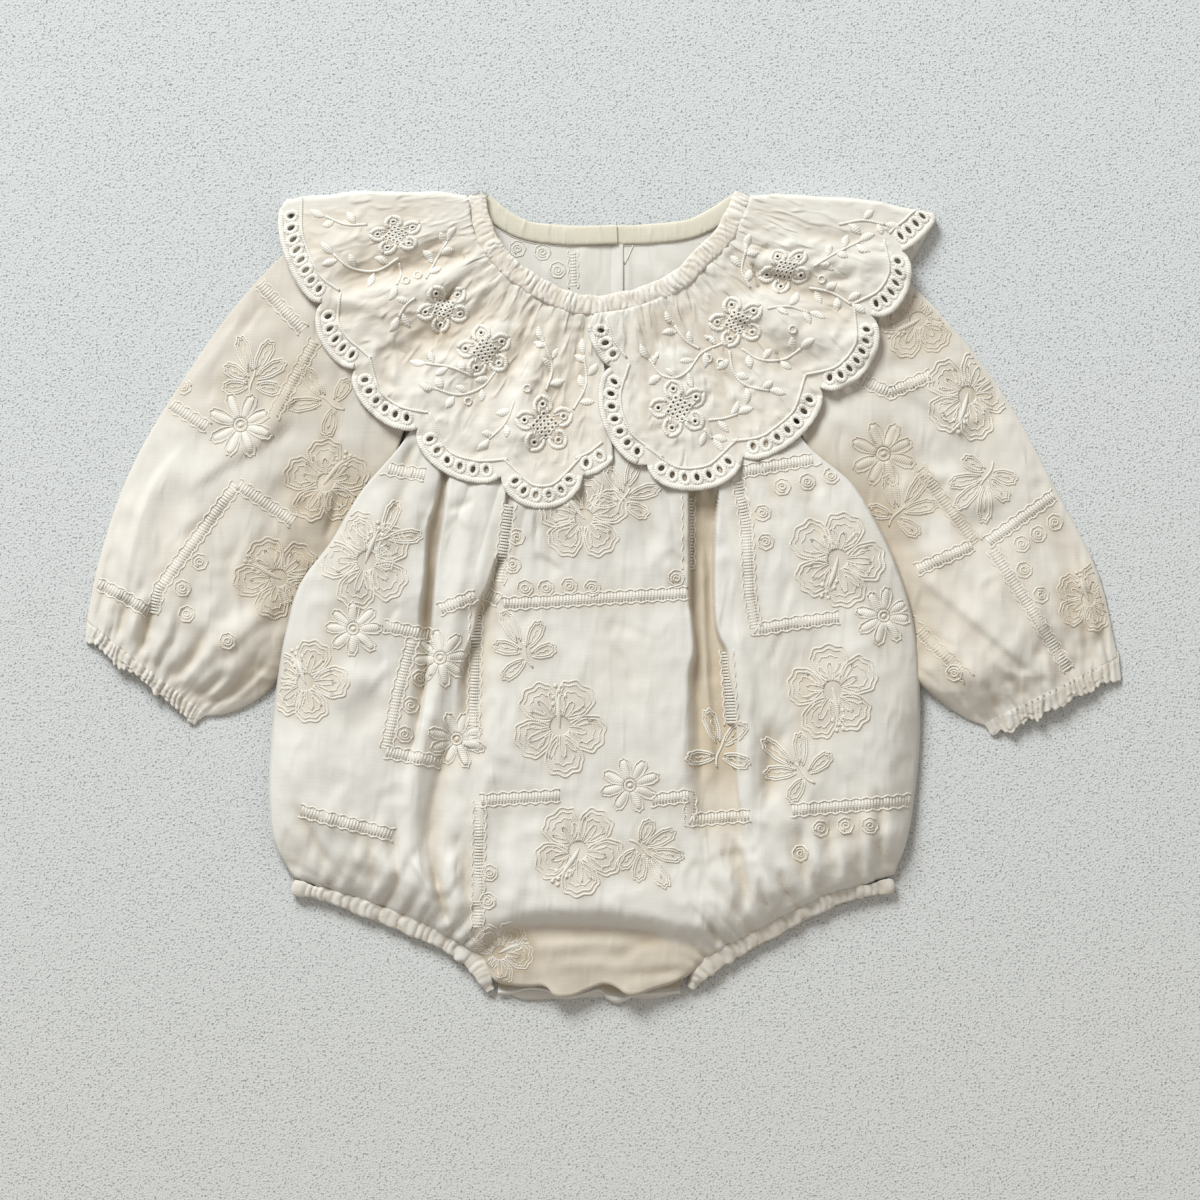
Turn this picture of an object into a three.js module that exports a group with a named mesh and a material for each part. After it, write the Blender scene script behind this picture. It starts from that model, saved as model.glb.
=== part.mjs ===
// A baby's long-sleeved bubble romper in embroidered cotton, laid flat on its back.
// Millimetres: X across the garment, Y from the crotch up to the neck, Z up from what it lies on.
// Each panel is a wall of cloth worked out from its own outline, and each edge casing is a band of cloth.
import * as THREE from "three";

// Driving dimensions
const clothWall = 1.2; // every panel, with its corded embroidery
const seamGap = 0.3; // between two pieces that are sewn together
const casingWidth = 8; // elastic casings at the neck, the cuffs and the legs
const casingWall = 2.4; // two folds of cloth and the elastic
const neckLevel = 9; // top of the front at the neck seam
const collarClearance = 2; // collar above the panels it lies on
const collarOverlap = 2.3; // right collar above the left one where they cross
const shoulderFold = 190; // Y of the line where the collars fold over to the back
const centreBack = 4.7; // X of the centre back seam and of the neck opening
const hemLevel = 6.9; // top of the front at the crotch
const legLevel = 5.2; // top of the front along the leg casings

// ---------------------------------------------------------------- outlines
// Neck seam of the front, from the left raglan seam to the right one.
const frontNeck = [
  { x: -63, y: 170.5 },
  { x: -56.4, y: 161.6 },
  { x: -47.6, y: 152.6 },
  { x: -36, y: 144 },
  { x: -20, y: 136.4 },
  { x: -4, y: 132.8 },
  { x: 11, y: 135 },
  { x: 26, y: 139.6 },
  { x: 38, y: 146 },
  { x: 48.4, y: 155 },
  { x: 59, y: 166 },
  { x: 66.5, y: 171.5 },
];

// Side edges of the front: raglan seam, then the full side that hangs over the sleeve, then the side seam.
// level is the top of the cloth there.
const frontLeft = [
  { x: -63, y: 170.5, level: 9 },
  { x: -76.5, y: 128, level: 9 },
  { x: -90.5, y: 80, level: 9.8 },
  { x: -115, y: 48.9, level: 10.3 },
  { x: -129.7, y: 24.7, level: 10.2 },
  { x: -143.9, y: 5.2, level: 9.3 },
  { x: -150.6, y: -16.6, level: 8 },
  { x: -155, y: -40.9, level: 5.6 },
  { x: -158.2, y: -68.9, level: 2.9 },
  { x: -159.1, y: -97.4, level: 2.8 },
  { x: -156.3, y: -118.8, level: 3 },
  { x: -147.5, y: -134.6, level: 4.2 },
];
const frontRight = [
  { x: 66.5, y: 171.5, level: 9 },
  { x: 79.5, y: 126, level: 9 },
  { x: 93.5, y: 76, level: 9.8 },
  { x: 118.3, y: 52.7, level: 10.3 },
  { x: 130, y: 34, level: 10.2 },
  { x: 141, y: 10, level: 9.3 },
  { x: 147.6, y: -13, level: 8 },
  { x: 150.6, y: -40, level: 5.6 },
  { x: 151, y: -67, level: 2.9 },
  { x: 148.6, y: -94, level: 2.8 },
  { x: 144.6, y: -117, level: 3 },
  { x: 138.6, y: -133.2, level: 4.2 },
];

// Lower edge of the front, above the casings: left leg, crotch, right leg.
const frontHem = [
  { x: -147.5, y: -134.6 },
  { x: -130, y: -138.5 },
  { x: -111.5, y: -144.6 },
  { x: -96, y: -150.8 },
  { x: -82, y: -156.6 },
  { x: -68, y: -163.4 },
  { x: -56.5, y: -171.5 },
  { x: -47, y: -184.6 },
  { x: -27, y: -187 },
  { x: -5, y: -185 },
  { x: 16, y: -187 },
  { x: 34.5, y: -184 },
  { x: 43, y: -175.6 },
  { x: 60, y: -164.6 },
  { x: 78, y: -154.6 },
  { x: 95, y: -145.6 },
  { x: 112, y: -138.6 },
  { x: 138.6, y: -133.2 },
];

// Height of the front along its middle, from the neck to the crotch.
const frontCrest = [
  { y: 172, level: 9 },
  { y: 105, level: 9.2 },
  { y: 75, level: 10.6 },
  { y: 45, level: 12.4 },
  { y: 5, level: 15.2 },
  { y: -55, level: 17 },
  { y: -120, level: 17 },
  { y: -148, level: 12.5 },
  { y: -172, level: 8.6 },
  { y: -190, level: 6.9 },
];
const sideReach = 34; // how far in from the side the front has risen to that height
const legReach = 24; // the same, from the leg casings

// Pleats of the front, from the neck gathers down to the leg casings. A negative rise is a valley.
const frontPleats = [
  { topX: -66, topY: 70, endX: -82, endY: -72, halfWidth: 8, rise: -6.5 },
  { topX: -52, topY: 30, endX: -84, endY: -140, halfWidth: 9, rise: 2.6 },
  { topX: 46, topY: 70, endX: 58, endY: -92, halfWidth: 9, rise: -7 },
  { topX: 66, topY: 28, endX: 78, endY: -130, halfWidth: 9, rise: 2.4 },
  { topX: -108, topY: 20, endX: -118, endY: -120, halfWidth: 12, rise: 1.6 },
  { topX: -124, topY: -84, endX: -132, endY: -136, halfWidth: 5, rise: -2.6 },
  { topX: -62, topY: -118, endX: -66, endY: -160, halfWidth: 5, rise: -3 },
  { topX: 70, topY: -112, endX: 84, endY: -154, halfWidth: 5, rise: -3 },
  { topX: 104, topY: -104, endX: 112, endY: -142, halfWidth: 5, rise: -2.6 },
  { topX: 0, topY: -138, endX: 4, endY: -142, halfWidth: 7, rise: -1.2 },
];

// Outer edges of the two back panels below the neck: raglan seam, underarm, side seam.
const backLeft = [
  { x: -62, y: 171 },
  { x: -91, y: 88 },
  { x: -121.4, y: -8 },
  { x: -125.5, y: -16 },
  { x: -136, y: -24 },
  { x: -147, y: -35 },
  { x: -155, y: -48 },
  { x: -158.2, y: -70 },
  { x: -159.1, y: -97.4 },
  { x: -156.3, y: -118.8 },
  { x: -147, y: -133.8 },
];
const backRight = [
  { x: 66, y: 171 },
  { x: 91, y: 86 },
  { x: 116.9, y: -8 },
  { x: 121, y: -18 },
  { x: 131.5, y: -28 },
  { x: 142, y: -38 },
  { x: 149, y: -52 },
  { x: 151, y: -72 },
  { x: 148.6, y: -94 },
  { x: 144.6, y: -117 },
  { x: 138.2, y: -132.6 },
];
const backNeckLeft = [
  { x: -62, y: 171 },
  { x: -50, y: 169.2 },
  { x: -38, y: 167.6 },
  { x: -16, y: 166 },
  { x: centreBack - seamGap / 2, y: 166 },
];
const backNeckRight = [
  { x: 66, y: 171 },
  { x: 54, y: 169.8 },
  { x: 40, y: 168 },
  { x: 20, y: 166.6 },
  { x: centreBack + seamGap / 2, y: 166 },
];
const backHemLeft = [
  { x: -147, y: -133.8 },
  { x: -130, y: -137.8 },
  { x: -111, y: -143.9 },
  { x: -82, y: -155.9 },
  { x: -66, y: -163.9 },
  { x: -55.4, y: -171.8 },
  { x: -48, y: -187 },
  { x: -40, y: -192.4 },
  { x: -24, y: -192.6 },
  { x: centreBack - seamGap / 2, y: -191.6 },
];
const backHemRight = [
  { x: 138.2, y: -132.6 },
  { x: 112, y: -137.9 },
  { x: 95, y: -144.8 },
  { x: 78, y: -153.8 },
  { x: 60, y: -163.8 },
  { x: 43, y: -174.4 },
  { x: 36, y: -186.8 },
  { x: 30, y: -191.6 },
  { x: 20, y: -192.6 },
  { x: centreBack + seamGap / 2, y: -191.6 },
];

// Sleeves, from the raglan seam to the cuff. Each row is one flattened ring: the shoulder fold, the
// underarm fold, and how far its upper layer stands above its lower one.
const sleeveLeftRows = [
  { outerX: -64, outerY: 172, innerX: -122.5, innerY: -7, crown: 5.7 },
  { outerX: -98, outerY: 183, innerX: -134, innerY: -17, crown: 5.8 },
  { outerX: -135, outerY: 175, innerX: -145, innerY: -28, crown: 6.4 },
  { outerX: -168, outerY: 146, innerX: -156, innerY: -40, crown: 8.5 },
  { outerX: -198.5, outerY: 105, innerX: -168, innerY: -50, crown: 12 },
  { outerX: -226, outerY: 58, innerX: -178, innerY: -56.5, crown: 12.5 },
  { outerX: -242, outerY: 14, innerX: -187, innerY: -58.5, crown: 10 },
  { outerX: -241.6, outerY: -14.6, innerX: -192.2, innerY: -52.6, crown: 6.6 },
];
const sleeveRightRows = [
  { outerX: 68, outerY: 172, innerX: 118, innerY: -7, crown: 5.7 },
  { outerX: 103, outerY: 179, innerX: 129, innerY: -19, crown: 5.8 },
  { outerX: 137, outerY: 157, innerX: 140, innerY: -31, crown: 6.4 },
  { outerX: 172, outerY: 121, innerX: 151, innerY: -43, crown: 8.5 },
  { outerX: 195, outerY: 89, innerX: 160, innerY: -49.5, crown: 12 },
  { outerX: 216, outerY: 50, innerX: 169, innerY: -56, crown: 12.5 },
  { outerX: 236, outerY: 10, innerX: 176, innerY: -61, crown: 10 },
  { outerX: 245.8, outerY: -31, innerX: 182.5, innerY: -58, crown: 6.6 },
];
const cuffLeftRows = [
  { outerX: -241.8, outerY: -15.1, innerX: -192.5, innerY: -53, crown: 6.4 },
  { outerX: -246.8, outerY: -22.2, innerX: -197.4, innerY: -60.2, crown: 6.2 },
];
const cuffRightRows = [
  { outerX: 245.9, outerY: -31.5, innerX: 182.7, innerY: -58.5, crown: 6.4 },
  { outerX: 246.8, outerY: -40.4, innerX: 186, innerY: -66.4, crown: 6.2 },
];

// Scalloped collars. Each row is the notch at the end of one scallop: bulge is how far the scallop
// before it stands out, and neck is the share of the neck seam that has been used up by then.
const collarLeftFront = [
  { x: 5, y: 66, bulge: 0, neck: 0 },
  { x: -9.5, y: 57, bulge: 3, neck: 0.1 },
  { x: -48, y: 53.2, bulge: 15, neck: 0.34 },
  { x: -87.4, y: 75.5, bulge: 9.4, neck: 0.56 },
  { x: -116.9, y: 105.9, bulge: 9.1, neck: 0.74 },
  { x: -136.8, y: 136.3, bulge: 5, neck: 0.88 },
  { x: -151, y: 184.8, bulge: 7, neck: 1 },
];
const collarRightFront = [
  { x: -6.5, y: 129, bulge: 0, neck: 0 },
  { x: 4.1, y: 108.4, bulge: 3, neck: 0.03 },
  { x: 20.4, y: 61.3, bulge: 13, neck: 0.12 },
  { x: 65, y: 65, bulge: 14, neck: 0.36 },
  { x: 104, y: 98.5, bulge: 12, neck: 0.58 },
  { x: 129.5, y: 134, bulge: 10, neck: 0.78 },
  { x: 144.9, y: 164.8, bulge: 8, neck: 0.92 },
  { x: 158, y: 180, bulge: 1.5, neck: 1 },
];
const collarLeftBack = [
  { x: -151, y: 184.8, bulge: 0, neck: 0 },
  { x: -129, y: 138, bulge: 8, neck: 0.22 },
  { x: -98, y: 106, bulge: 9, neck: 0.46 },
  { x: -58, y: 86, bulge: 9, neck: 0.7 },
  { x: -18, y: 82, bulge: 9, neck: 0.94 },
  { x: -2, y: 96, bulge: 3, neck: 1 },
];
const collarRightBack = [
  { x: 158, y: 180, bulge: 0, neck: 0 },
  { x: 134, y: 136, bulge: 8, neck: 0.22 },
  { x: 104, y: 104, bulge: 9, neck: 0.46 },
  { x: 66, y: 86, bulge: 9, neck: 0.7 },
  { x: 27, y: 82, bulge: 9, neck: 0.94 },
  { x: 11, y: 96, bulge: 3, neck: 1 },
];
const collarNeckLeftFront = [
  { x: -2, y: 132.6 },
  { x: -20, y: 136 },
  { x: -36, y: 143.6 },
  { x: -48, y: 152.4 },
  { x: -57, y: 161.6 },
  { x: -63.4, y: 173 },
  { x: -66, y: shoulderFold - 2 },
];
const collarNeckRightFront = [
  { x: -4, y: 132.6 },
  { x: 11, y: 134.6 },
  { x: 26, y: 139.2 },
  { x: 38.4, y: 145.6 },
  { x: 49, y: 154.8 },
  { x: 60, y: 166.4 },
  { x: 67, y: 177 },
  { x: 72, y: shoulderFold - 2.4 },
];
const collarNeckLeftBack = [
  { x: -66, y: shoulderFold - 2 },
  { x: -60, y: 180 },
  { x: -40, y: 168 },
  { x: -18, y: 165.6 },
  { x: 1.6, y: 165.6 },
];
const collarNeckRightBack = [
  { x: 72, y: shoulderFold - 2.4 },
  { x: 64, y: 180 },
  { x: 44, y: 169 },
  { x: 24, y: 166 },
  { x: 7.8, y: 165.6 },
];

// Soft radial waves of the collars' fullness.
const collarWaves = [
  { topX: -40, topY: 132, endX: -57, endY: 60, halfWidth: 8, rise: 2.6 },
  { topX: -58, topY: 150, endX: -104, endY: 98, halfWidth: 8, rise: 1.6 },
  { topX: -72, topY: 166, endX: -136, endY: 146, halfWidth: 8, rise: 1.6 },
  { topX: 52, topY: 140, endX: 92, endY: 86, halfWidth: 9, rise: 1.8 },
  { topX: 74, topY: 162, endX: 140, endY: 152, halfWidth: 8, rise: 1.8 },
];

// Middle of the neck casing, from the left shoulder round the front to the right shoulder.
const neckCasingPath = [
  { x: -60.6, y: 190.5, level: 5.9 },
  { x: -58.6, y: 179, level: 8.6 },
  { x: -52.8, y: 165, level: 10 },
  { x: -44.2, y: 155.6, level: 10.2 },
  { x: -33.4, y: 147.6, level: 10.2 },
  { x: -18.6, y: 140.4, level: 10.2 },
  { x: -4, y: 137.2, level: 10.2 },
  { x: 10, y: 139.2, level: 10.2 },
  { x: 24, y: 143.4, level: 10.2 },
  { x: 35.4, y: 149.6, level: 10.2 },
  { x: 45.2, y: 158.2, level: 10.2 },
  { x: 56, y: 169.6, level: 10 },
  { x: 62.6, y: 180, level: 8.6 },
  { x: 67.6, y: 190.5, level: 5.9 },
];
// Middle of the back neck band, from each shoulder to the opening.
const neckBandLeftPath = [
  { x: -57.5, y: 187.6, level: 3.4 },
  { x: -49, y: 180.2, level: 3.4 },
  { x: -37.5, y: 174, level: 3.4 },
  { x: -18, y: 171.4, level: 3.6 },
  { x: -5, y: 171.4, level: 5.1 },
  { x: 9, y: 171.6, level: 5.4 },
];
const neckBandRightPath = [
  { x: 64.6, y: 187.6, level: 3.4 },
  { x: 54.6, y: 180.6, level: 3.4 },
  { x: 42, y: 174.6, level: 3.4 },
  { x: 22, y: 172, level: 3.4 },
  { x: 1.6, y: 171.4, level: 3.4 },
];
const bandWidth = 8.2;
const bandWall = 1.5;

// Middle of each leg casing, from the crotch to the side seam.
const legCasingLeftPath = [
  { x: -53.4, y: -188.6 },
  { x: -60.2, y: -176 },
  { x: -70.4, y: -167.6 },
  { x: -84, y: -160.8 },
  { x: -97.6, y: -155.2 },
  { x: -113, y: -149.2 },
  { x: -131, y: -143 },
  { x: -145.4, y: -139.6 },
];
const legCasingRightPath = [
  { x: 41.6, y: -187.4 },
  { x: 46.2, y: -180.2 },
  { x: 62.6, y: -168.8 },
  { x: 80.6, y: -158.8 },
  { x: 97.4, y: -149.8 },
  { x: 113.4, y: -143.2 },
  { x: 126, y: -140.6 },
  { x: 136.4, y: -138.6 },
];

// Crotch closing: a strip under the front hem, a strip on the back hem, and the snaps between them.
const crotchStripDepth = 9;
const stripWall = 0.9;
const crotchFront = { left: -44, right: 33, y: -184.6, base: 4.2 };
const crotchBack = { left: -46, right: 35, y: -190.6, base: 1.5 };
const snap = { radius: 4, height: 1.3, y: -181.2, base: 2.6, xs: [-33, -5.5, 22] };
const neckButton = { radius: 4.6, height: 1.1, x: 4.6, y: 171.4, base: 1.2 };
const backPlacket = { left: 5, right: 10.6, top: 165.4, bottom: 92, wall: 0.9 };

// ---------------------------------------------------------------- small maths
const clamp01 = (t) => Math.min(1, Math.max(0, t));
const mix = (a, b, t) => a + (b - a) * t;
const ease = (t) => clamp01(t) ** 2 * (3 - 2 * clamp01(t));

// Share of the full height reached at a distance from an edge: steep at the edge, level at reach.
const rise = (distance, reach) => 1 - (1 - clamp01(distance / reach)) ** 2;

// A value read from a table by its y column, which falls from row to row.
function levelAt(rows, y) {
  const next = rows.findIndex((row) => row.y <= y);
  if (next === 0) return rows[0].level;
  if (next < 0) return rows[rows.length - 1].level;
  const a = rows[next - 1];
  const b = rows[next];
  return mix(a.level, b.level, ease((a.y - y) / (a.y - b.y)));
}

// A smooth curve through a table's points. Its z is the table's level, or 0.
const curveThrough = (rows) =>
  new THREE.CatmullRomCurve3(
    rows.map((row) => new THREE.Vector3(row.x, row.y, row.level ?? 0)),
    false,
    "centripetal",
  );

// Height added by a table of pleats: each is a smooth ridge or valley along a line, fading past its ends.
function pleatHeight(pleats, x, y) {
  return pleats.reduce((sum, pleat) => {
    const dx = pleat.endX - pleat.topX;
    const dy = pleat.endY - pleat.topY;
    const length = Math.hypot(dx, dy);
    const along = ((x - pleat.topX) * dx + (y - pleat.topY) * dy) / length;
    const across = ((x - pleat.topX) * dy - (y - pleat.topY) * dx) / length;
    const past = Math.max(0, -along, along - length);
    const fade = Math.exp(-((past / (2 * pleat.halfWidth)) ** 2));
    return sum + pleat.rise * fade * Math.exp(-((across / pleat.halfWidth) ** 2));
  }, 0);
}

// How far the lower layers are lifted by the back of the collars, which lies under them.
const collarCentre = { x: 4, y: 168, reachX: 160, reachY: 96 };
function liftOverCollar(x, y) {
  const share = Math.hypot(
    (x - collarCentre.x) / collarCentre.reachX,
    (y - collarCentre.y) / collarCentre.reachY,
  );
  return (clothWall + seamGap) * (1 - ease((share - 1.12) / 0.3));
}

// ---------------------------------------------------------------- solids
// A closed mesh from points and faces of three or four corners, listed anticlockwise from outside.
function solidFrom(points, faces) {
  const positions = new Float32Array(points.flatMap((p) => [p.x, p.y, p.z]));
  const index = faces.flatMap(([a, b, c, d]) =>
    d === undefined ? [a, b, c] : [a, b, c, a, c, d],
  );
  const geometry = new THREE.BufferGeometry();
  geometry.setAttribute("position", new THREE.BufferAttribute(positions, 3));
  geometry.setIndex(index);
  geometry.computeVertexNormals();
  return geometry;
}

// Unit normals of a grid of points, pointing up where the columns run to +X and the rows to -Y.
function gridNormals(grid) {
  const last = grid.length - 1;
  const lastColumn = grid[0].length - 1;
  return grid.map((row, i) =>
    row.map((_, j) => {
      const down = grid[Math.min(last, i + 1)][j].clone().sub(grid[Math.max(0, i - 1)][j]);
      const right = grid[i][Math.min(lastColumn, j + 1)]
        .clone()
        .sub(grid[i][Math.max(0, j - 1)]);
      return down.cross(right).normalize();
    }),
  );
}

// A wall of cloth on a grid of points: the grid is its upper face, and the wall lies behind it.
function wallOnGrid(grid, wall) {
  const rows = grid.length;
  const columns = grid[0].length;
  const normals = gridNormals(grid);
  const upper = grid.flat();
  const lower = grid.flatMap((row, i) =>
    row.map((p, j) => p.clone().addScaledVector(normals[i][j], -wall)),
  );
  const points = [...upper, ...lower];
  const at = (i, j) => i * columns + j;
  const under = (i, j) => rows * columns + at(i, j);
  const faces = [];
  for (let i = 0; i < rows - 1; i++)
    for (let j = 0; j < columns - 1; j++) {
      faces.push([at(i, j), at(i + 1, j), at(i + 1, j + 1), at(i, j + 1)]);
      faces.push([under(i, j), under(i, j + 1), under(i + 1, j + 1), under(i + 1, j)]);
    }
  for (let j = 0; j < columns - 1; j++) {
    faces.push([at(0, j), at(0, j + 1), under(0, j + 1), under(0, j)]);
    faces.push([at(rows - 1, j + 1), at(rows - 1, j), under(rows - 1, j), under(rows - 1, j + 1)]);
  }
  for (let i = 0; i < rows - 1; i++) {
    faces.push([at(i + 1, 0), at(i, 0), under(i, 0), under(i + 1, 0)]);
    faces.push([
      at(i, columns - 1),
      at(i + 1, columns - 1),
      under(i + 1, columns - 1),
      under(i, columns - 1),
    ]);
  }
  return solidFrom(points, faces);
}

// A tube of cloth from matching outer and inner rings, open at both ends.
function tubeOfRings(outer, inner) {
  const count = outer[0].length;
  const points = [...outer.flat(), ...inner.flat()];
  const out = (i, j) => i * count + (j % count);
  const within = (i, j) => outer.length * count + out(i, j);
  const faces = [];
  for (let j = 0; j < count; j++) {
    for (let i = 0; i < outer.length - 1; i++) {
      faces.push([out(i, j), out(i, j + 1), out(i + 1, j + 1), out(i + 1, j)]);
      faces.push([within(i, j), within(i + 1, j), within(i + 1, j + 1), within(i, j + 1)]);
    }
    const end = outer.length - 1;
    faces.push([out(0, j + 1), out(0, j), within(0, j), within(0, j + 1)]);
    faces.push([out(end, j), out(end, j + 1), within(end, j + 1), within(end, j)]);
  }
  return solidFrom(points, faces);
}

// A band of cloth along stations that give its middle, the way its width runs and the way it faces.
function bandAlong(stations, width, wall) {
  const corners = [
    { side: 1, face: 1 },
    { side: -1, face: 1 },
    { side: -1, face: -1 },
    { side: 1, face: -1 },
  ];
  const points = stations.flatMap(({ middle, across, facing }) =>
    corners.map(({ side, face }) =>
      middle
        .clone()
        .addScaledVector(across, (side * width) / 2)
        .addScaledVector(facing, (face * wall) / 2),
    ),
  );
  const faces = [];
  for (let i = 0; i < stations.length - 1; i++)
    for (let c = 0; c < 4; c++) {
      const next = (c + 1) % 4;
      faces.push([4 * i + c, 4 * i + next, 4 * i + 4 + next, 4 * i + 4 + c]);
    }
  const end = 4 * (stations.length - 1);
  faces.push([0, 3, 2, 1], [end, end + 1, end + 2, end + 3]);
  return solidFrom(points, faces);
}

// Turns a solid's faces round if they point inwards, which depends on the way its rows run.
function facingOut(geometry) {
  const p = geometry.getAttribute("position");
  const index = geometry.getIndex();
  const [a, b, c] = [new THREE.Vector3(), new THREE.Vector3(), new THREE.Vector3()];
  let volume = 0;
  for (let i = 0; i < index.count; i += 3) {
    a.fromBufferAttribute(p, index.getX(i));
    b.fromBufferAttribute(p, index.getX(i + 1));
    c.fromBufferAttribute(p, index.getX(i + 2));
    volume += a.dot(b.cross(c));
  }
  if (volume < 0)
    for (let i = 0; i < index.count; i += 3) {
      const second = index.getX(i + 1);
      index.setX(i + 1, index.getX(i + 2));
      index.setX(i + 2, second);
    }
  geometry.computeVertexNormals();
  return geometry;
}

// ---------------------------------------------------------------- panels
// A grid between four edges: top and bottom run across, left and right run down.
function patch({ top, bottom, left, right, columns, rows, level }) {
  const corner = [top.getPointAt(0), top.getPointAt(1), bottom.getPointAt(0), bottom.getPointAt(1)];
  return Array.from({ length: rows + 1 }, (_, i) =>
    Array.from({ length: columns + 1 }, (_, j) => {
      const u = j / columns;
      const v = i / rows;
      const [t, b] = [top.getPointAt(u), bottom.getPointAt(u)];
      const [l, r] = [left.getPointAt(v), right.getPointAt(v)];
      const at = (axis) =>
        mix(t[axis], b[axis], v) +
        mix(l[axis], r[axis], u) -
        mix(
          mix(corner[0][axis], corner[1][axis], u),
          mix(corner[2][axis], corner[3][axis], u),
          v,
        );
      const [x, y] = [at("x"), at("y")];
      const fromSide = Math.min(u, 1 - u) * l.distanceTo(r);
      const fromHem = (1 - v) * t.distanceTo(b);
      const edgeLevel = mix(l.z, r.z, u);
      return new THREE.Vector3(x, y, level({ x, y, u, v, fromSide, fromHem, edgeLevel }));
    }),
  );
}

function frontLevel({ x, y, v, fromSide, fromHem, edgeLevel }) {
  const crest = levelAt(frontCrest, y);
  const nearCrotch = Math.exp(-(((x + 5) / 52) ** 4));
  const hem = mix(legLevel, hemLevel, nearCrotch);
  const edge = mix(edgeLevel, hem, ease((v - 0.72) / 0.28));
  const risen = rise(fromSide, sideReach) * rise(fromHem, legReach);
  const pleats = pleatHeight(frontPleats, x, y) * ease(fromSide / 20) * ease(fromHem / 14);
  return edge + (crest - edge) * risen + pleats;
}

function frontPanel() {
  const grid = patch({
    top: curveThrough(frontNeck),
    bottom: curveThrough(frontHem),
    left: curveThrough(frontLeft),
    right: curveThrough(frontRight),
    columns: 32,
    rows: 18,
    level: frontLevel,
  });
  return wallOnGrid(grid, clothWall);
}

function backPanel(neck, side, hem) {
  const opening = [neck[neck.length - 1], hem[hem.length - 1]];
  const grid = patch({
    top: curveThrough(neck),
    bottom: curveThrough(hem),
    left: curveThrough(side),
    right: curveThrough(opening),
    columns: 11,
    rows: 15,
    level: ({ x, y }) => liftOverCollar(x, y) + clothWall,
  });
  const points = [grid, grid.map((row) => row.map((p) => p.clone().setZ(p.z - clothWall)))];
  return wallBetween(...points);
}

// A wall between two matching grids.
function wallBetween(upper, lower) {
  const rows = upper.length;
  const columns = upper[0].length;
  const at = (i, j) => i * columns + j;
  const under = (i, j) => rows * columns + at(i, j);
  const faces = [];
  for (let i = 0; i < rows - 1; i++)
    for (let j = 0; j < columns - 1; j++) {
      faces.push([at(i, j), at(i + 1, j), at(i + 1, j + 1), at(i, j + 1)]);
      faces.push([under(i, j), under(i, j + 1), under(i + 1, j + 1), under(i + 1, j)]);
    }
  for (let j = 0; j < columns - 1; j++) {
    faces.push([at(0, j), at(0, j + 1), under(0, j + 1), under(0, j)]);
    faces.push([at(rows - 1, j + 1), at(rows - 1, j), under(rows - 1, j), under(rows - 1, j + 1)]);
  }
  const edge = columns - 1;
  for (let i = 0; i < rows - 1; i++) {
    faces.push([at(i + 1, 0), at(i, 0), under(i, 0), under(i + 1, 0)]);
    faces.push([at(i, edge), at(i + 1, edge), under(i + 1, edge), under(i, edge)]);
  }
  return facingOut(solidFrom([...upper.flat(), ...lower.flat()], faces));
}

// One flattened ring of a sleeve or cuff: its upper layer from the underarm fold to the shoulder
// fold, then its lower layer back. inset is 0 on the outside of the cloth and 1 on its inside.
const ringSteps = 12;
function flatRing(row, wall, inset) {
  const width = Math.hypot(row.outerX - row.innerX, row.outerY - row.innerY);
  const shrink = (inset * wall) / width;
  const upper = (share) => Math.sin(Math.PI * share) ** 0.7;
  const pointAt = (share, height, base) => {
    const s = mix(shrink, 1 - shrink, share);
    const x = mix(row.innerX, row.outerX, s);
    const y = mix(row.innerY, row.outerY, s);
    const z = liftOverCollar(x, y) + base + height;
    return new THREE.Vector3(x, y, z);
  };
  const shares = Array.from({ length: ringSteps + 1 }, (_, k) =>
    (1 - Math.cos((Math.PI * k) / ringSteps)) / 2,
  );
  const over = shares.map((s) => pointAt(s, (row.crown - inset * wall) * upper(s), wall));
  const below = shares
    .slice(1, -1)
    .reverse()
    .map((s) => pointAt(s, 0, inset ? wall : 0));
  return [...over, ...below];
}

function ringTube(rows, wall) {
  return facingOut(
    tubeOfRings(
      rows.map((row) => flatRing(row, wall, 0)),
      rows.map((row) => flatRing(row, wall, 1)),
    ),
  );
}

// ---------------------------------------------------------------- collars
// Points along a scalloped edge: an arc of three points' making between each notch and the next.
const scallopSteps = 5;
function scallopedEdge(notches) {
  const stations = [];
  notches.slice(1).forEach((end, i) => {
    const start = notches[i];
    const chord = new THREE.Vector2(end.x - start.x, end.y - start.y);
    const outward = new THREE.Vector2(chord.y, -chord.x).normalize();
    for (let k = i ? 1 : 0; k <= scallopSteps; k++) {
      const t = k / scallopSteps;
      const stand = end.bulge * Math.sqrt(1 - (2 * t - 1) ** 2) * end.turn;
      stations.push({
        x: start.x + chord.x * t + outward.x * stand,
        y: start.y + chord.y * t + outward.y * stand,
        neck: mix(start.neck, end.neck, t),
      });
    }
  });
  return stations;
}

// Height of the collars' upper face over the front and the sleeves.
function collarLevel(x, y, overlap) {
  const wave = pleatHeight(collarWaves, x, y);
  const crossing = overlap * (1 - ease((x - 16) / 26));
  return levelAt(frontCrest, y) + collarClearance + wave + crossing;
}

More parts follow.
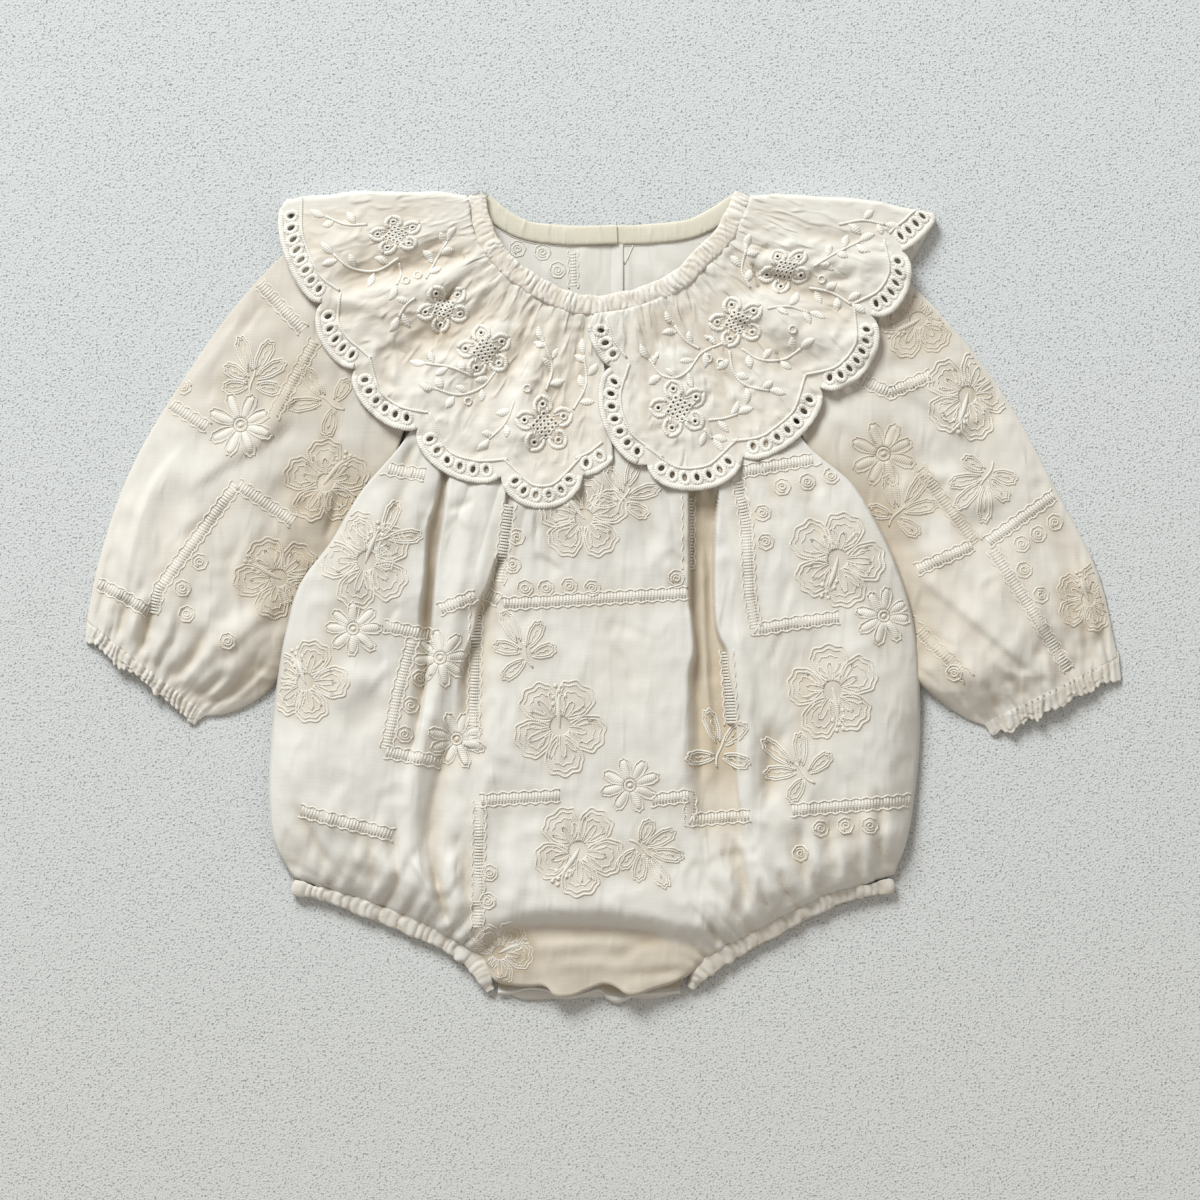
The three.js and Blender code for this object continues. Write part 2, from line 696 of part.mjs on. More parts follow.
// One half of the collar: a grid from the front edge round the shoulder fold to the centre back.
// turn is 1 where the scallops' outward side lies to the right of the way they run, and -1 on the left.
const collarAcross = 5;
const collarFoldTurn = [
  { inward: 5.6, share: 1 },
  { inward: 1.8, share: 0.86 },
  { inward: 0, share: 0.5 },
  { inward: 0.8, share: 0.16 },
  { inward: 4, share: 0 },
];
const foldLevel = { neck: 10, corner: 5.6 }; // top of the fold at the neck and at the outer corner
function collarHalf({ front, back, neckFront, neckBack, turn, overlap }) {
  const withTurn = (rows) => rows.map((row) => ({ ...row, turn }));
  const frontNeckCurve = curveThrough(neckFront);
  const backNeckCurve = curveThrough(neckBack);
  const across = Array.from({ length: collarAcross + 1 }, (_, j) => j / collarAcross);
  const rowOf = (neckPoint, edge, level) =>
    across.map((t) => {
      const x = mix(neckPoint.x, edge.x, t);
      const y = mix(neckPoint.y, edge.y, t);
      return new THREE.Vector3(x, y, level(x, y));
    });
  const foldNeck = neckFront[neckFront.length - 1];
  const corner = front[front.length - 1];
  const fromFold = (x, y) => {
    const share = (x - foldNeck.x) / (corner.x - foldNeck.x);
    return mix(foldNeck.y, corner.y, share) - y;
  };
  const alongFold = (x) => clamp01((x - foldNeck.x) / (corner.x - foldNeck.x));
  const foldTop = (x) => mix(foldLevel.neck, foldLevel.corner, ease((alongFold(x) - 0.45) / 0.55));
  const frontLevelAt = (x, y) =>
    mix(foldTop(x) - 0.2, collarLevel(x, y, overlap), ease(fromFold(x, y) / 30));
  const frontRows = scallopedEdge(withTurn(front)).map((edge) =>
    rowOf(frontNeckCurve.getPointAt(edge.neck), edge, frontLevelAt),
  );
  frontRows.pop();
  const turnRows = collarFoldTurn.map(({ inward, share }) =>
    across.map((t) => {
      const x = mix(foldNeck.x, corner.x, t);
      const y = mix(foldNeck.y, corner.y, t);
      return new THREE.Vector3(x, y + 2.4 - inward, share * foldTop(x));
    }),
  );
  const backRows = scallopedEdge(withTurn(back).map((row) => ({ ...row, turn: -turn })))
    .map((edge) => rowOf(backNeckCurve.getPointAt(edge.neck), edge, () => 0))
    .slice(1);
  return [...frontRows.filter((row) => keepClear(row, fromFold)), ...turnRows, ...backRows];
}

// The last rows of the front scallops stay short of the shoulder fold, where the turn takes over.
const foldMargin = 6.5;
const keepClear = (row, fromFold) =>
  row.every((p) => fromFold(p.x, p.y) > foldMargin - 2.4) || row.some((p) => p.y < 150);

function collar(options) {
  const grid = collarHalf(options);
  const normals = gridNormals(grid);
  const flip = Math.sign(normals[2][2].z);
  const lower = grid.map((row, i) =>
    row.map((p, j) => {
      const inside = p.clone().addScaledVector(normals[i][j], -flip * clothWall);
      return inside;
    }),
  );
  return wallBetween(grid, lower);
}

// ---------------------------------------------------------------- bands
const stationCount = (length, step) => Math.max(2, Math.round(length / step));

// Stations of a band that lies flat along a curve, its z read from the table's level.
function flatStations(rows, step) {
  const curve = curveThrough(rows);
  const count = stationCount(curve.getLength(), step);
  return Array.from({ length: count + 1 }, (_, k) => {
    const t = k / count;
    const along = curve.getTangentAt(t);
    const across = new THREE.Vector3(-along.y, along.x, 0).normalize();
    const facing = new THREE.Vector3().crossVectors(along, across).normalize();
    return { middle: curve.getPointAt(t), across, facing };
  });
}

// A leg casing: its front layer from the crotch to the side, the fold there, and its back layer.
const legFrontMiddle = 4.1;
const legBackMiddle = casingWall / 2;
function legCasing(rows, crotchLevel) {
  const curve = curveThrough(rows);
  const count = stationCount(curve.getLength(), 6.5);
  const layer = (level) =>
    Array.from({ length: count + 1 }, (_, k) => {
      const t = k / count;
      const along = curve.getTangentAt(t);
      const middle = curve.getPointAt(t).setZ(level(t));
      const across = new THREE.Vector3(-along.y, along.x, 0).normalize();
      return { middle, across, along };
    });
  const raised = (t) => mix(crotchLevel, legFrontMiddle, ease(t / 0.3));
  const front = layer(raised).map((s) => ({ ...s, facing: new THREE.Vector3(0, 0, 1) }));
  const back = layer(() => legBackMiddle)
    .reverse()
    .map((s) => ({ ...s, facing: new THREE.Vector3(0, 0, -1) }));
  const last = front[count];
  const turns = [0.5].map(() => ({
    middle: last.middle
      .clone()
      .addScaledVector(last.along, (legFrontMiddle - legBackMiddle) / 2 + 0.8)
      .setZ((legFrontMiddle + legBackMiddle) / 2),
    across: last.across,
    facing: last.along.clone(),
  }));
  return facingOut(bandAlong([...front, ...turns, ...back], casingWidth, casingWall));
}

function strip({ left, right, y, base }) {
  const geometry = new THREE.BoxGeometry(right - left, crotchStripDepth, stripWall);
  return geometry.translate((left + right) / 2, y + crotchStripDepth / 2, base + stripWall / 2);
}

function disc({ radius, height, y, base }, x) {
  const geometry = new THREE.CylinderGeometry(radius, radius, height, 16);
  return geometry.rotateX(Math.PI / 2).translate(x, y, base + height / 2);
}

// ---------------------------------------------------------------- materials
const cotton = new THREE.MeshStandardMaterial({ color: 0xebe4d6, roughness: 0.85, metalness: 0 });
const eyelet = new THREE.MeshStandardMaterial({ color: 0xeee6d6, roughness: 0.85, metalness: 0 });
const binding = new THREE.MeshStandardMaterial({ color: 0xe9e6cc, roughness: 0.85, metalness: 0 });
const plastic = new THREE.MeshStandardMaterial({ color: 0xf0ece0, roughness: 0.35, metalness: 0 });

// ---------------------------------------------------------------- the garment
const romper = new THREE.Group();
function add(name, geometry, material) {
  const mesh = new THREE.Mesh(geometry, material);
  mesh.name = name;
  romper.add(mesh);
}

add("body_front", facingOut(frontPanel()), cotton);
add("body_back_left", backPanel(backNeckLeft, backLeft, backHemLeft), cotton);
add("body_back_right", backPanel(backNeckRight, backRight, backHemRight), cotton);
add("sleeve_left", ringTube(sleeveLeftRows, clothWall), cotton);
add("sleeve_right", ringTube(sleeveRightRows, clothWall), cotton);
add("cuff_left", ringTube(cuffLeftRows, clothWall), cotton);
add("cuff_right", ringTube(cuffRightRows, clothWall), cotton);
add(
  "collar_left",
  collar({
    front: collarLeftFront,
    back: collarLeftBack,
    neckFront: collarNeckLeftFront,
    neckBack: collarNeckLeftBack,
    turn: -1,
    overlap: 0,
  }),
  eyelet,
);
add(
  "collar_right",
  collar({
    front: collarRightFront,
    back: collarRightBack,
    neckFront: collarNeckRightFront,
    neckBack: collarNeckRightBack,
    turn: 1,
    overlap: collarOverlap,
  }),
  eyelet,
);
add(
  "neck_casing",
  facingOut(bandAlong(flatStations(neckCasingPath, 7), casingWidth, casingWall)),
  eyelet,
);
add("neck_band_left", facingOut(bandAlong(flatStations(neckBandLeftPath, 8), bandWidth, bandWall)), binding);
add("neck_band_right", facingOut(bandAlong(flatStations(neckBandRightPath, 8), bandWidth, bandWall)), binding);
add("leg_casing_left", legCasing(legCasingLeftPath, 5.7), cotton);
add("leg_casing_right", legCasing(legCasingRightPath, 5.7), cotton);
add("crotch_strip_front", strip(crotchFront), cotton);
add("crotch_strip_back", strip(crotchBack), cotton);
snap.xs.forEach((x, i) => add(`crotch_snap_${i + 1}`, disc(snap, x), plastic));
add("neck_button", disc(neckButton, neckButton.x), plastic);

const placketHeight = backPlacket.top - backPlacket.bottom;
const placketBase = 2 * clothWall + 2 * seamGap;
add(
  "back_placket",
  new THREE.BoxGeometry(
    backPlacket.right - backPlacket.left,
    placketHeight,
    backPlacket.wall,
  ).translate(
    (backPlacket.left + backPlacket.right) / 2,
    backPlacket.bottom + placketHeight / 2,
    placketBase + backPlacket.wall / 2,
  ),
  cotton,
);

export default romper;
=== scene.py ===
import math
import bpy
import numpy as np
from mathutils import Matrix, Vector
from mathutils.geometry import delaunay_2d_cdt


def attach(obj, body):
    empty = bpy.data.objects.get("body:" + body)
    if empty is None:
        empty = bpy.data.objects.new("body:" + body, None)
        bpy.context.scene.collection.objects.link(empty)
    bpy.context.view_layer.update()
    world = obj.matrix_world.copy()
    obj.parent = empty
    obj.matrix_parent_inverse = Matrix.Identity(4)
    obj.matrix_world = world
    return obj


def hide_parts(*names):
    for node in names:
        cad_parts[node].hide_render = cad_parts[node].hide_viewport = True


# a baby's bubble romper in embroidered cotton, laid flat: the tables are in millimetres, the meshes in metres
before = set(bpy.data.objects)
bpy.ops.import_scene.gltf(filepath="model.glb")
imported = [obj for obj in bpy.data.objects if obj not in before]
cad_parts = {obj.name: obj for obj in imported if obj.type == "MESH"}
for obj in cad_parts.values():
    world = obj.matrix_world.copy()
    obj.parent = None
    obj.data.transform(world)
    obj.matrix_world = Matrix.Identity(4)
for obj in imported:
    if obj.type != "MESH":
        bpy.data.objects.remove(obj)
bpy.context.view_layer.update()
mm = 0.001
floorGap = 0.05  # how far above the floor the lowest cloth stays
bothSides = ("left", "right")


# small maths, on whole arrays
def ease(t):
    # smooth step, 3t^2 - 2t^3, held level outside 0..1
    t = np.clip(t, 0, 1)
    return t * t * (3 - 2 * t)


def mix(a, b, t):
    # the value a share t of the way from a to b
    return a + (b - a) * t


def rise(distance, reach):
    # share of the full height, 1 - (1 - d/reach)^2: steep at the edge and level at reach
    return 1 - (1 - np.clip(distance / reach, 0, 1)) ** 2


def bell(t, power=2):
    # e to the minus t to the power: 1 at nought, and less and less on both sides
    return np.exp(-(t ** power))


def fade(distance, reach):
    # e to the minus distance over reach: 1 at nought, and about a third of that after each reach
    return np.exp(-distance / reach)


def softTable(rows, at):
    # value read from rows of (place, value), eased so that it runs level at each row
    rows = np.asarray(sorted(rows), float)
    i = np.clip(np.searchsorted(rows[:, 0], at) - 1, 0, len(rows) - 2)
    return mix(rows[i, 1], rows[i + 1, 1], ease((at - rows[i, 0]) / (rows[i + 1, 0] - rows[i, 0])))


def runOf(path):
    # distance run along a path, at each of its points
    return np.r_[0, np.cumsum(np.linalg.norm(np.diff(path, axis=0), axis=1))]


def readAt(at, run, rows):
    # each column of the rows, read at those distances along their run
    return np.stack([np.interp(at, run, column) for column in rows.T], -1)


def unit(vectors):
    # each row at a length of one
    return vectors / np.linalg.norm(vectors, axis=1)[:, None]


def leftOf(ways):
    # the flat direction to the left of each way
    return unit(np.stack([-ways[:, 1], ways[:, 0]], -1))


def curveThrough(points, shares):
    # centripetal Catmull-Rom: a cubic on each span, sloped by its neighbours, read at shares of its length
    p = np.asarray(points, float)
    p = np.vstack([2 * p[0] - p[1], p, 2 * p[-1] - p[-2]])
    d = np.sqrt(np.linalg.norm(np.diff(p, axis=0), axis=1))[:, None] + 1e-9
    d0, d1, d2 = d[:-2], d[1:-1], d[2:]
    a, b, c, e = p[:-3], p[1:-2], p[2:-1], p[3:]
    out = ((b - a) / d0 - (c - a) / (d0 + d1) + (c - b) / d1) * d1
    into = ((c - b) / d1 - (e - b) / (d1 + d2) + (e - c) / d2) * d1
    t = np.linspace(0, 1, 16)[:-1][None, :, None]
    square, cube = -3 * b + 3 * c - 2 * out - into, 2 * b - 2 * c + out + into
    cubic = square[:, None] * t ** 2 + cube[:, None] * t ** 3
    dense = np.vstack([(b[:, None] + out[:, None] * t + cubic).reshape(-1, p.shape[1]), p[-2]])
    run = runOf(dense)
    return readAt(np.asarray(shares) * run[-1], run, dense)


def lengthOf(path):
    return np.linalg.norm(np.diff(path, axis=0), axis=1).sum()


def evenCurve(points, step):
    # the same curve, in even steps of about that length
    length = lengthOf(curveThrough(points, np.linspace(0, 1, 60)))
    return curveThrough(points, np.linspace(0, 1, max(3, int(round(length / step)) + 1)))


def turned(points, angle):
    c, s = math.cos(angle), math.sin(angle)
    return np.stack([points[:, 0] * c - points[:, 1] * s, points[:, 0] * s + points[:, 1] * c], -1)


def nearestOn(path, x, y):
    # signed distance to a line of short pieces (left of its way is positive), and the share along it
    best = np.full(x.shape, 1e9)
    side, share = np.zeros(x.shape), np.zeros(x.shape)
    run = runOf(path[:, :2])
    for k in range(len(path) - 1):
        p, d = path[k, :2], path[k + 1, :2] - path[k, :2]
        length = max(d @ d, 1e-12)
        t = np.clip(((x - p[0]) * d[0] + (y - p[1]) * d[1]) / length, 0, 1)
        gapX, gapY = x - p[0] - t * d[0], y - p[1] - t * d[1]
        away = gapX ** 2 + gapY ** 2
        closer = away < best
        best = np.where(closer, away, best)
        side = np.where(closer, np.sign(d[0] * gapY - d[1] * gapX), side)
        share = np.where(closer, (run[k] + t * math.sqrt(length)) / run[-1], share)
    return np.sqrt(best) * side, share


def distanceTo(path, x, y):
    return np.abs(nearestOn(path, x, y)[0])


def edgeAt(points, y):
    # x of a line that runs down the cloth, at each y
    line = curveThrough(points, np.linspace(0, 1, 90))
    return np.interp(-y, -line[:, 1], line[:, 0])


def cloud(x, y, size, seed):
    # soft noise from -1 to 1: random values on a square lattice of that size, eased between its corners
    lattice = np.random.default_rng(seed).uniform(-1, 1, (64, 64))
    u, v = x / size, y / size
    i, j = np.floor(u).astype(int), np.floor(v).astype(int)
    a, b = ease(u - i), ease(v - j)
    i, j, k, m = i % 64, j % 64, (i + 1) % 64, (j + 1) % 64
    return mix(mix(lattice[i, j], lattice[k, j], a), mix(lattice[i, m], lattice[k, m], a), b)


def crumple(x, y, size, seed):
    # creased cloth from 0 to 1: noise folded at nought, so that it meets in sharp lines, on a warped lattice
    warpX = x + size * 0.6 * cloud(x, y, size * 1.4, seed)
    warpY = y + size * 0.6 * cloud(x, y, size * 1.4, seed + 1)
    return 1 - np.abs(cloud(warpX, warpY, size, seed + 2)) * 1.4


def gathers(along, pitch, seed):
    # uneven rounded ridges from 0 to 1 with sharp valleys between: |sin|^0.8, whose phase and height wander
    wander = cloud(along, along * 0 + seed, pitch * 2.3, seed)
    tall = 0.62 + 0.38 * cloud(along, along * 0 + 9.0, pitch * 1.7, seed + 1)
    return np.abs(np.sin(math.pi * along / pitch + 1.7 * wander)) ** 0.8 * tall


def ridgeRow(along, pitchHeight, seed):
    # gathers of a pitch and a height, about their middle
    pitch, height = pitchHeight
    return (gathers(along, pitch, seed) - 0.45) * height


def creaseHeight(creases, x, y):
    # sum of ridges and grooves, each a bell of its own width on either side of a short curve: a row holds
    # x and y of the curve's points, then its widths to the left and right, and its height
    total = np.zeros(x.shape)
    for row in creases:
        left, right, height = row[-3:]
        path = curveThrough(np.reshape(row[:-3], (-1, 2)), np.linspace(0, 1, 14))
        reach = 3 * max(left, right)
        low, high = path.min(0) - reach, path.max(0) + reach
        near = (x > low[0]) & (x < high[0]) & (y > low[1]) & (y < high[1])
        if not near.any():
            continue
        away, share = nearestOn(path, x[near], y[near])
        width = np.where(away > 0, left, right)
        ends = ease(share / 0.3) * ease((1 - share) / 0.3)
        total[near] += height * ends * bell(away / width)
    return total


def smallCreases(seed, count, low, high, way, strength=1.0):
    # short sharp creases strewn over a box, about one way, their places and sizes by a seed
    rng = np.random.default_rng(seed)
    rows = []
    for _ in range(count):
        start, angle, long = rng.uniform(low, high), way + rng.normal(0, 0.45), rng.uniform(9, 30)
        line = start + turned(np.array([(0, 0), (0.5, rng.uniform(-0.1, 0.1)), (1, 0)]) * long, angle)
        left, right, height = rng.uniform(0.8, 2.0), rng.uniform(1.8, 5.0), strength * rng.uniform(-1.0, 0.6)
        rows.append([*line.ravel(), left, right, height])
    return rows


# making meshes
def putMesh(name, points, quads, polygons=(), uv=None, smooth=True, uvName="stitch"):
    # whole arrays go straight into the mesh: points in millimetres, quads, and other faces in lists
    mesh = bpy.data.meshes.new(name)
    points = np.asarray(points, np.float32) * mm
    groups = [np.asarray(g) for g in [quads, *polygons] if len(g)]
    corners = np.concatenate([g.ravel() for g in groups]).astype(np.int32)
    sizes = np.concatenate([np.full(len(g), g.shape[1]) for g in groups]).astype(np.int32)
    mesh.vertices.add(len(points))
    mesh.vertices.foreach_set("co", points.ravel())
    mesh.loops.add(len(corners))
    mesh.loops.foreach_set("vertex_index", corners)
    mesh.polygons.add(len(sizes))
    mesh.polygons.foreach_set("loop_start", (np.cumsum(sizes) - sizes).astype(np.int32))
    mesh.update(calc_edges=True)
    if uv is not None:
        layer = mesh.uv_layers.new(name=uvName)
        layer.data.foreach_set("uv", np.asarray(uv, np.float32)[corners].ravel())
    mesh.polygons.foreach_set("use_smooth", np.full(len(sizes), smooth))
    mesh.validate()
    piece = bpy.data.objects.new(name, mesh)
    bpy.context.scene.collection.objects.link(piece)
    return piece


def gridQuads(rows, columns, closeRows=False):
    # faces of a grid of points, rows by columns: closeRows joins each row's end to its start
    i = np.arange(rows - 1)[:, None] * columns
    j = np.arange(columns if closeRows else columns - 1)[None, :]
    k = (j + 1) % columns
    return np.stack([i + j, i + columns + j, i + columns + k, i + k], -1).reshape(-1, 4)


def addFloats(piece, name, values):
    layer = piece.data.attributes.new(name, "FLOAT", "POINT")
    layer.data.foreach_set("value", np.asarray(values, np.float32).ravel())


def giveWall(piece, wall):
    # the cloth's thickness, laid behind its outer face
    solid = piece.modifiers.new("wall", "SOLIDIFY")
    solid.thickness = wall * mm
    solid.offset = -1
    solid.use_even_offset = False
    return piece


def settle(piece, material, slot, *nodes):
    piece.data.materials.append(material)
    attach(piece, "root")
    if nodes:
        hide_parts(*nodes)


# finishes
def newFinish(name, values):
    # a material with these values on its shader's own sockets
    material = bpy.data.materials.new(name)
    material.use_nodes = True
    shader = material.node_tree.nodes["Principled BSDF"]
    for socket, value in values.items():
        shader.inputs[socket].default_value = value
    return material, material.node_tree, shader


def wire(tree, kind, out=0, settings=None, **links):
    # a node and its settings, each socket linked or set by its name, or by i and its number: gives one output
    node = tree.nodes.new("ShaderNode" + kind)
    for key, value in (settings or {}).items():
        setattr(node, key, value)
    for key, value in links.items():
        socket = node.inputs[int(key[1:]) if key[1:].isdigit() else key.replace("_", " ")]
        if isinstance(value, bpy.types.NodeSocket):
            tree.links.new(value, socket)
        else:
            socket.default_value = value
    return node.outputs[out]


def blend(tree, share, first, second):
    return wire(tree, "Mix", 2, {"data_type": "RGBA"}, i0=share, i6=first, i7=second)


def scaledBy(tree, colour, amount):
    return wire(tree, "VectorMath", 0, {"operation": "SCALE"}, i0=colour, Scale=amount)


def cottonCloth(name, cloth):
    # cream cotton: uneven threads both ways and faint warm clouding, with painted shade: a tan tone mixed in
    # by a per-point attribute, strongest in folds and hollows, and a grey darkening by a second one
    material, tree, shader = newFinish(name, {
        "Roughness": cloth["roughness"], "Specular IOR Level": 0.25, "Sheen Weight": 0.12,
        "Sheen Roughness": 0.5})
    where = wire(tree, "TexCoord", "Object")

    def threads(scaleX, scaleY):
        stretched = wire(tree, "Mapping", i0=where, Scale=(scaleX, scaleY, 60))
        return wire(tree, "TexNoise", "Fac", i0=stretched, Scale=1.0, Detail=2.0)

    warp = threads(cloth["threads"], 70)
    weft = threads(70, cloth["threads"])
    weave = wire(tree, "Math", 0, {"operation": "ADD"}, i0=warp, i1=weft)
    clouding = wire(tree, "TexNoise", "Fac", i0=where, Scale=cloth["clouds"], Detail=3.0)
    tone = blend(tree, clouding, cloth["pale"], cloth["warm"])
    slubs = wire(tree, "MapRange", i0=weave, i1=0.75, i2=1.25, i3=0.985, i4=1.015)
    woven = scaledBy(tree, tone, slubs)
    # painted shade: a tan tone mixed in by one per-point attribute, and a grey darkening by another
    fold = wire(tree, "Attribute", "Fac", {"attribute_name": "fold"})
    paintedShadeTone = blend(tree, fold, woven, cloth["paintedShadeTone"])
    paintedGreyShade = wire(tree, "Attribute", "Fac", {"attribute_name": "paintedGreyShade"})
    light = wire(tree, "Math", 0, {"operation": "SUBTRACT"}, i0=1.0, i1=paintedGreyShade)
    tree.links.new(scaledBy(tree, paintedShadeTone, light), shader.inputs["Base Color"])
    grain = wire(tree, "Bump", Strength=0.25, Distance=0.0003, Height=weave)
    laid = wire(tree, "UVMap", 0, {"uv_map": "radial"}) if cloth["radial"] else where
    drawn = wire(tree, "Mapping", i0=laid, Scale=(1.9, 0.62, 1.0))
    crinkles = wire(tree, "TexNoise", "Fac", {"noise_type": "RIDGED_MULTIFRACTAL", "normalize": True},
                    i0=drawn, Scale=cloth["crinkles"], Detail=2.5, Roughness=0.55, Distortion=0.5)
    bump = wire(tree, "Bump", Strength=cloth["creased"], Distance=0.0016, Height=crinkles, Normal=grain)
    tree.links.new(bump, shader.inputs["Normal"])
    return material


def satinThread(name, thread):
    # embroidery thread: fine ribs across each cord, read along the cord's own map, with painted shade in the
    # grooves between the ribs
    material, tree, shader = newFinish(name, {
        "Base Color": thread["colour"], "Roughness": 0.62, "Specular IOR Level": 0.35, "Sheen Weight": 0.15})
    along = wire(tree, "UVMap", 0, {"uv_map": "stitch"})
    slanted = wire(tree, "Mapping", i0=along, Rotation=(0, 0, thread["slant"]))
    ribs = wire(tree, "TexWave", "Fac", {"bands_direction": "X"},
                i0=slanted, Scale=thread["ribs"], Distortion=0.4)
    tree.links.new(blend(tree, ribs, thread["between"], thread["colour"]), shader.inputs["Base Color"])
    bump = wire(tree, "Bump", Strength=0.5, Distance=0.00022, Height=ribs)
    tree.links.new(bump, shader.inputs["Normal"])
    return material


def glossyPlastic(name, colour):
    # moulded plastic: a faint uneven gloss
    material, tree, shader = newFinish(name, {"Base Color": colour})
    where = wire(tree, "TexCoord", "Object")
    noise = wire(tree, "TexNoise", "Fac", i0=where, Scale=900.0, Detail=2.0)
    tree.links.new(wire(tree, "MapRange", i0=noise, i3=0.25, i4=0.42), shader.inputs["Roughness"])
    return material


# each cloth's tone, and the tan that its painted shade mixes towards
plainCotton = dict(
    roughness=0.88, threads=2600, clouds=18, crinkles=150, paintedShadeTone=(0.54, 0.452, 0.34, 1), radial=False)
bodyCotton = cottonCloth("bodyCotton", dict(
    plainCotton, pale=(0.685, 0.678, 0.644, 1), warm=(0.648, 0.629, 0.577, 1), paintedShadeTone=(0.52, 0.442, 0.33, 1),
    clouds=14, crinkles=80, creased=0.42))
collarCotton = cottonCloth("collarCotton", dict(
    plainCotton, pale=(0.705, 0.69, 0.64, 1), warm=(0.67, 0.645, 0.58, 1), creased=1.0, radial=True))
casingCotton = cottonCloth("casingCotton", dict(
    plainCotton, pale=(0.735, 0.72, 0.675, 1), warm=(0.705, 0.68, 0.62, 1), creased=0.6))
bindingCotton = cottonCloth("bindingCotton", dict(
    plainCotton, pale=(0.67, 0.66, 0.575, 1), warm=(0.64, 0.625, 0.53, 1), paintedShadeTone=(0.55, 0.48, 0.34, 1),
    roughness=0.85, threads=2200, clouds=20, crinkles=130, creased=0.5))
cordThread = satinThread("cordThread", dict(
    colour=(0.72, 0.70, 0.64, 1), between=(0.635, 0.605, 0.535, 1), slant=0.35, ribs=0.33))
# a painted-shade copy of the cord thread: darker and tanner, for motifs that lie in shadow
shadedThread = satinThread("shadedThread", dict(
    colour=(0.65, 0.605, 0.52, 1), between=(0.56, 0.505, 0.42, 1), slant=0.35, ribs=0.33))
collarThread = satinThread("collarThread", dict(
    colour=(0.79, 0.775, 0.725, 1), between=(0.66, 0.635, 0.57, 1), slant=0.25, ribs=0.28))
snapPlastic = glossyPlastic("snapPlastic", (0.86, 0.82, 0.74, 1))
print("finishes made")

# sizes of the collars, needed by the cloth under them
# an edge has rows of (x, y, how far its scallop stands out, how its peak leans), a neck line rows of (x, y),
# and a wave is a row as a crease is; a shade is an oval of painted shade, (x, y, long, wide, angle, amount),
# and each half also has a base amount of painted shade
collars = dict(
    left=dict(
        front=[(5, 66, 0, 1), (-9.5, 57, 3, 1), (-48.4, 56.4, 15.8, 1), (-87.6, 79.4, 12.2, 1.1),
               (-117.5, 107.6, 10.6, 1.1), (-132.8, 138.9, 9.4, 1.1), (-151.6, 186, 9.2, 0.9)],
        back=[(-151.6, 186, 0, 1), (-129, 138, 8, 1), (-98, 106, 9, 1), (-58, 86, 9, 1), (-18, 82, 9, 1),
              (-2, 96, 3, 1)],
        neckFront=[(-2, 133.6), (-19.4, 137.4), (-35, 145), (-46.8, 153.6), (-55.4, 162.6), (-61.4, 173.4),
                   (-63.6, 188)],
        neckBack=[(-66, 188), (-60, 180), (-40, 168), (-18, 165.6), (1.6, 165.6)], turn=-1, overlap=0.0,
        waves=[
            (-26, 126, -37, 100, -43, 60, 13, 5, 2.6), (-16, 122, -21, 96, -24, 66, 8, 5, -1.8),
            (-46, 153, -84, 147, -136, 136, 16, 4, 2.2), (-38, 145, -70, 128, -114, 108, 7, 5, -2.2),
            (-42, 136, -66, 112, -98, 88, 9, 10, 1.5), (-56, 163, -92, 156, -140, 147, 4, 5, -1.2),
            (-60, 174, -98, 170, -144, 167, 7, 7, 1.1), (-36, 132, -52, 104, -66, 76, 4, 7, -0.9),
            (-96, 182, -104, 172, -120, 158, 4, 4, -0.9), (-12, 132, -10, 112, -12, 92, 3, 3, -1.0)],
        shades=[(-92, 131, 36, 10, -0.28, 0.5), (-28, 96, 8, 30, 0.16, 0.5), (-110, 164, 34, 14, 0, 0.45)],
        seed=71, shadeAmount=0.28),
    right=dict(
        front=[(-6.5, 129, 0, 1), (4.1, 108.4, 3.4, 1), (20.8, 61.9, 13, 1), (66.3, 65.7, 14.4, 1),
               (102.8, 98.8, 11.4, 1.1), (127, 133, 14, 1), (141.8, 163.6, 11.4, 0.9),
               (158.6, 179.6, 2.4, 1)],
        back=[(158, 180.2, 0, 1), (126, 134, 3, 1), (100, 104, 5, 1), (66, 86, 9, 1), (27, 82, 9, 1),
              (11, 96, 3, 1)],
        neckFront=[(-4, 133.6), (10.8, 135.8), (25.2, 140.4), (37.4, 147), (47.8, 156), (58.6, 167.6),
                   (65.4, 178), (70, 188)],
        neckBack=[(72, 187.6), (64, 180), (44, 169), (24, 166), (7.8, 165.6)], turn=1, overlap=2.3,
        waves=[(50, 152, 84, 147, 126, 136, 5, 5, -2.6), (56, 160, 96, 160, 142, 157, 7, 8, 1.9),
               (36, 145, 70, 122, 102, 100, 6, 6, -2.0), (48, 144, 84, 128, 118, 116, 7, 7, 1.9),
               (14, 134, 19, 100, 20, 66, 4, 5, -1.4), (28, 136, 40, 104, 44, 60, 9, 9, 1.5),
               (86, 178, 104, 170, 128, 168, 4, 4, -1.4), (30, 140, 54, 100, 66, 68, 5, 6, -1.3)],
        shades=[(96, 126, 30, 7, 0.5, 0.25)], seed=75, shadeAmount=0.1),
    fanFrom=(4, 205), neckGathers=(15, 1.9), grooves=26, foldNeck=10, foldCorner=5.6, out=2.4, wall=0.55,
    backLevel=0.55, spacing=1.45, clearance=1.4, least=0.7, eyeletIn=6.2, eyeletPitch=5.9, eyeletLong=1.95,
    eyeletWide=1.42, innerCord=10.6, border=1.45)


def scallops(rows, turn, step):
    # between two notches the edge is half an ellipse that stands out, its peak moved along by its lean
    arcs = []
    for start, end in zip(rows[:-1], rows[1:]):
        a, chord = np.array(start[:2], float), np.array(end[:2], float) - np.array(start[:2], float)
        length = np.linalg.norm(chord)
        out = np.array([chord[1], -chord[0]]) / length * turn
        t = (1 - np.cos(np.linspace(0, math.pi, max(4, int(length / step))))) / 2
        stand = end[2] * np.sqrt(np.clip(1 - (2 * t ** end[3] - 1) ** 2, 0, None))
        arcs.append(a + chord * t[:, None] + out * stand[:, None])
    return arcs


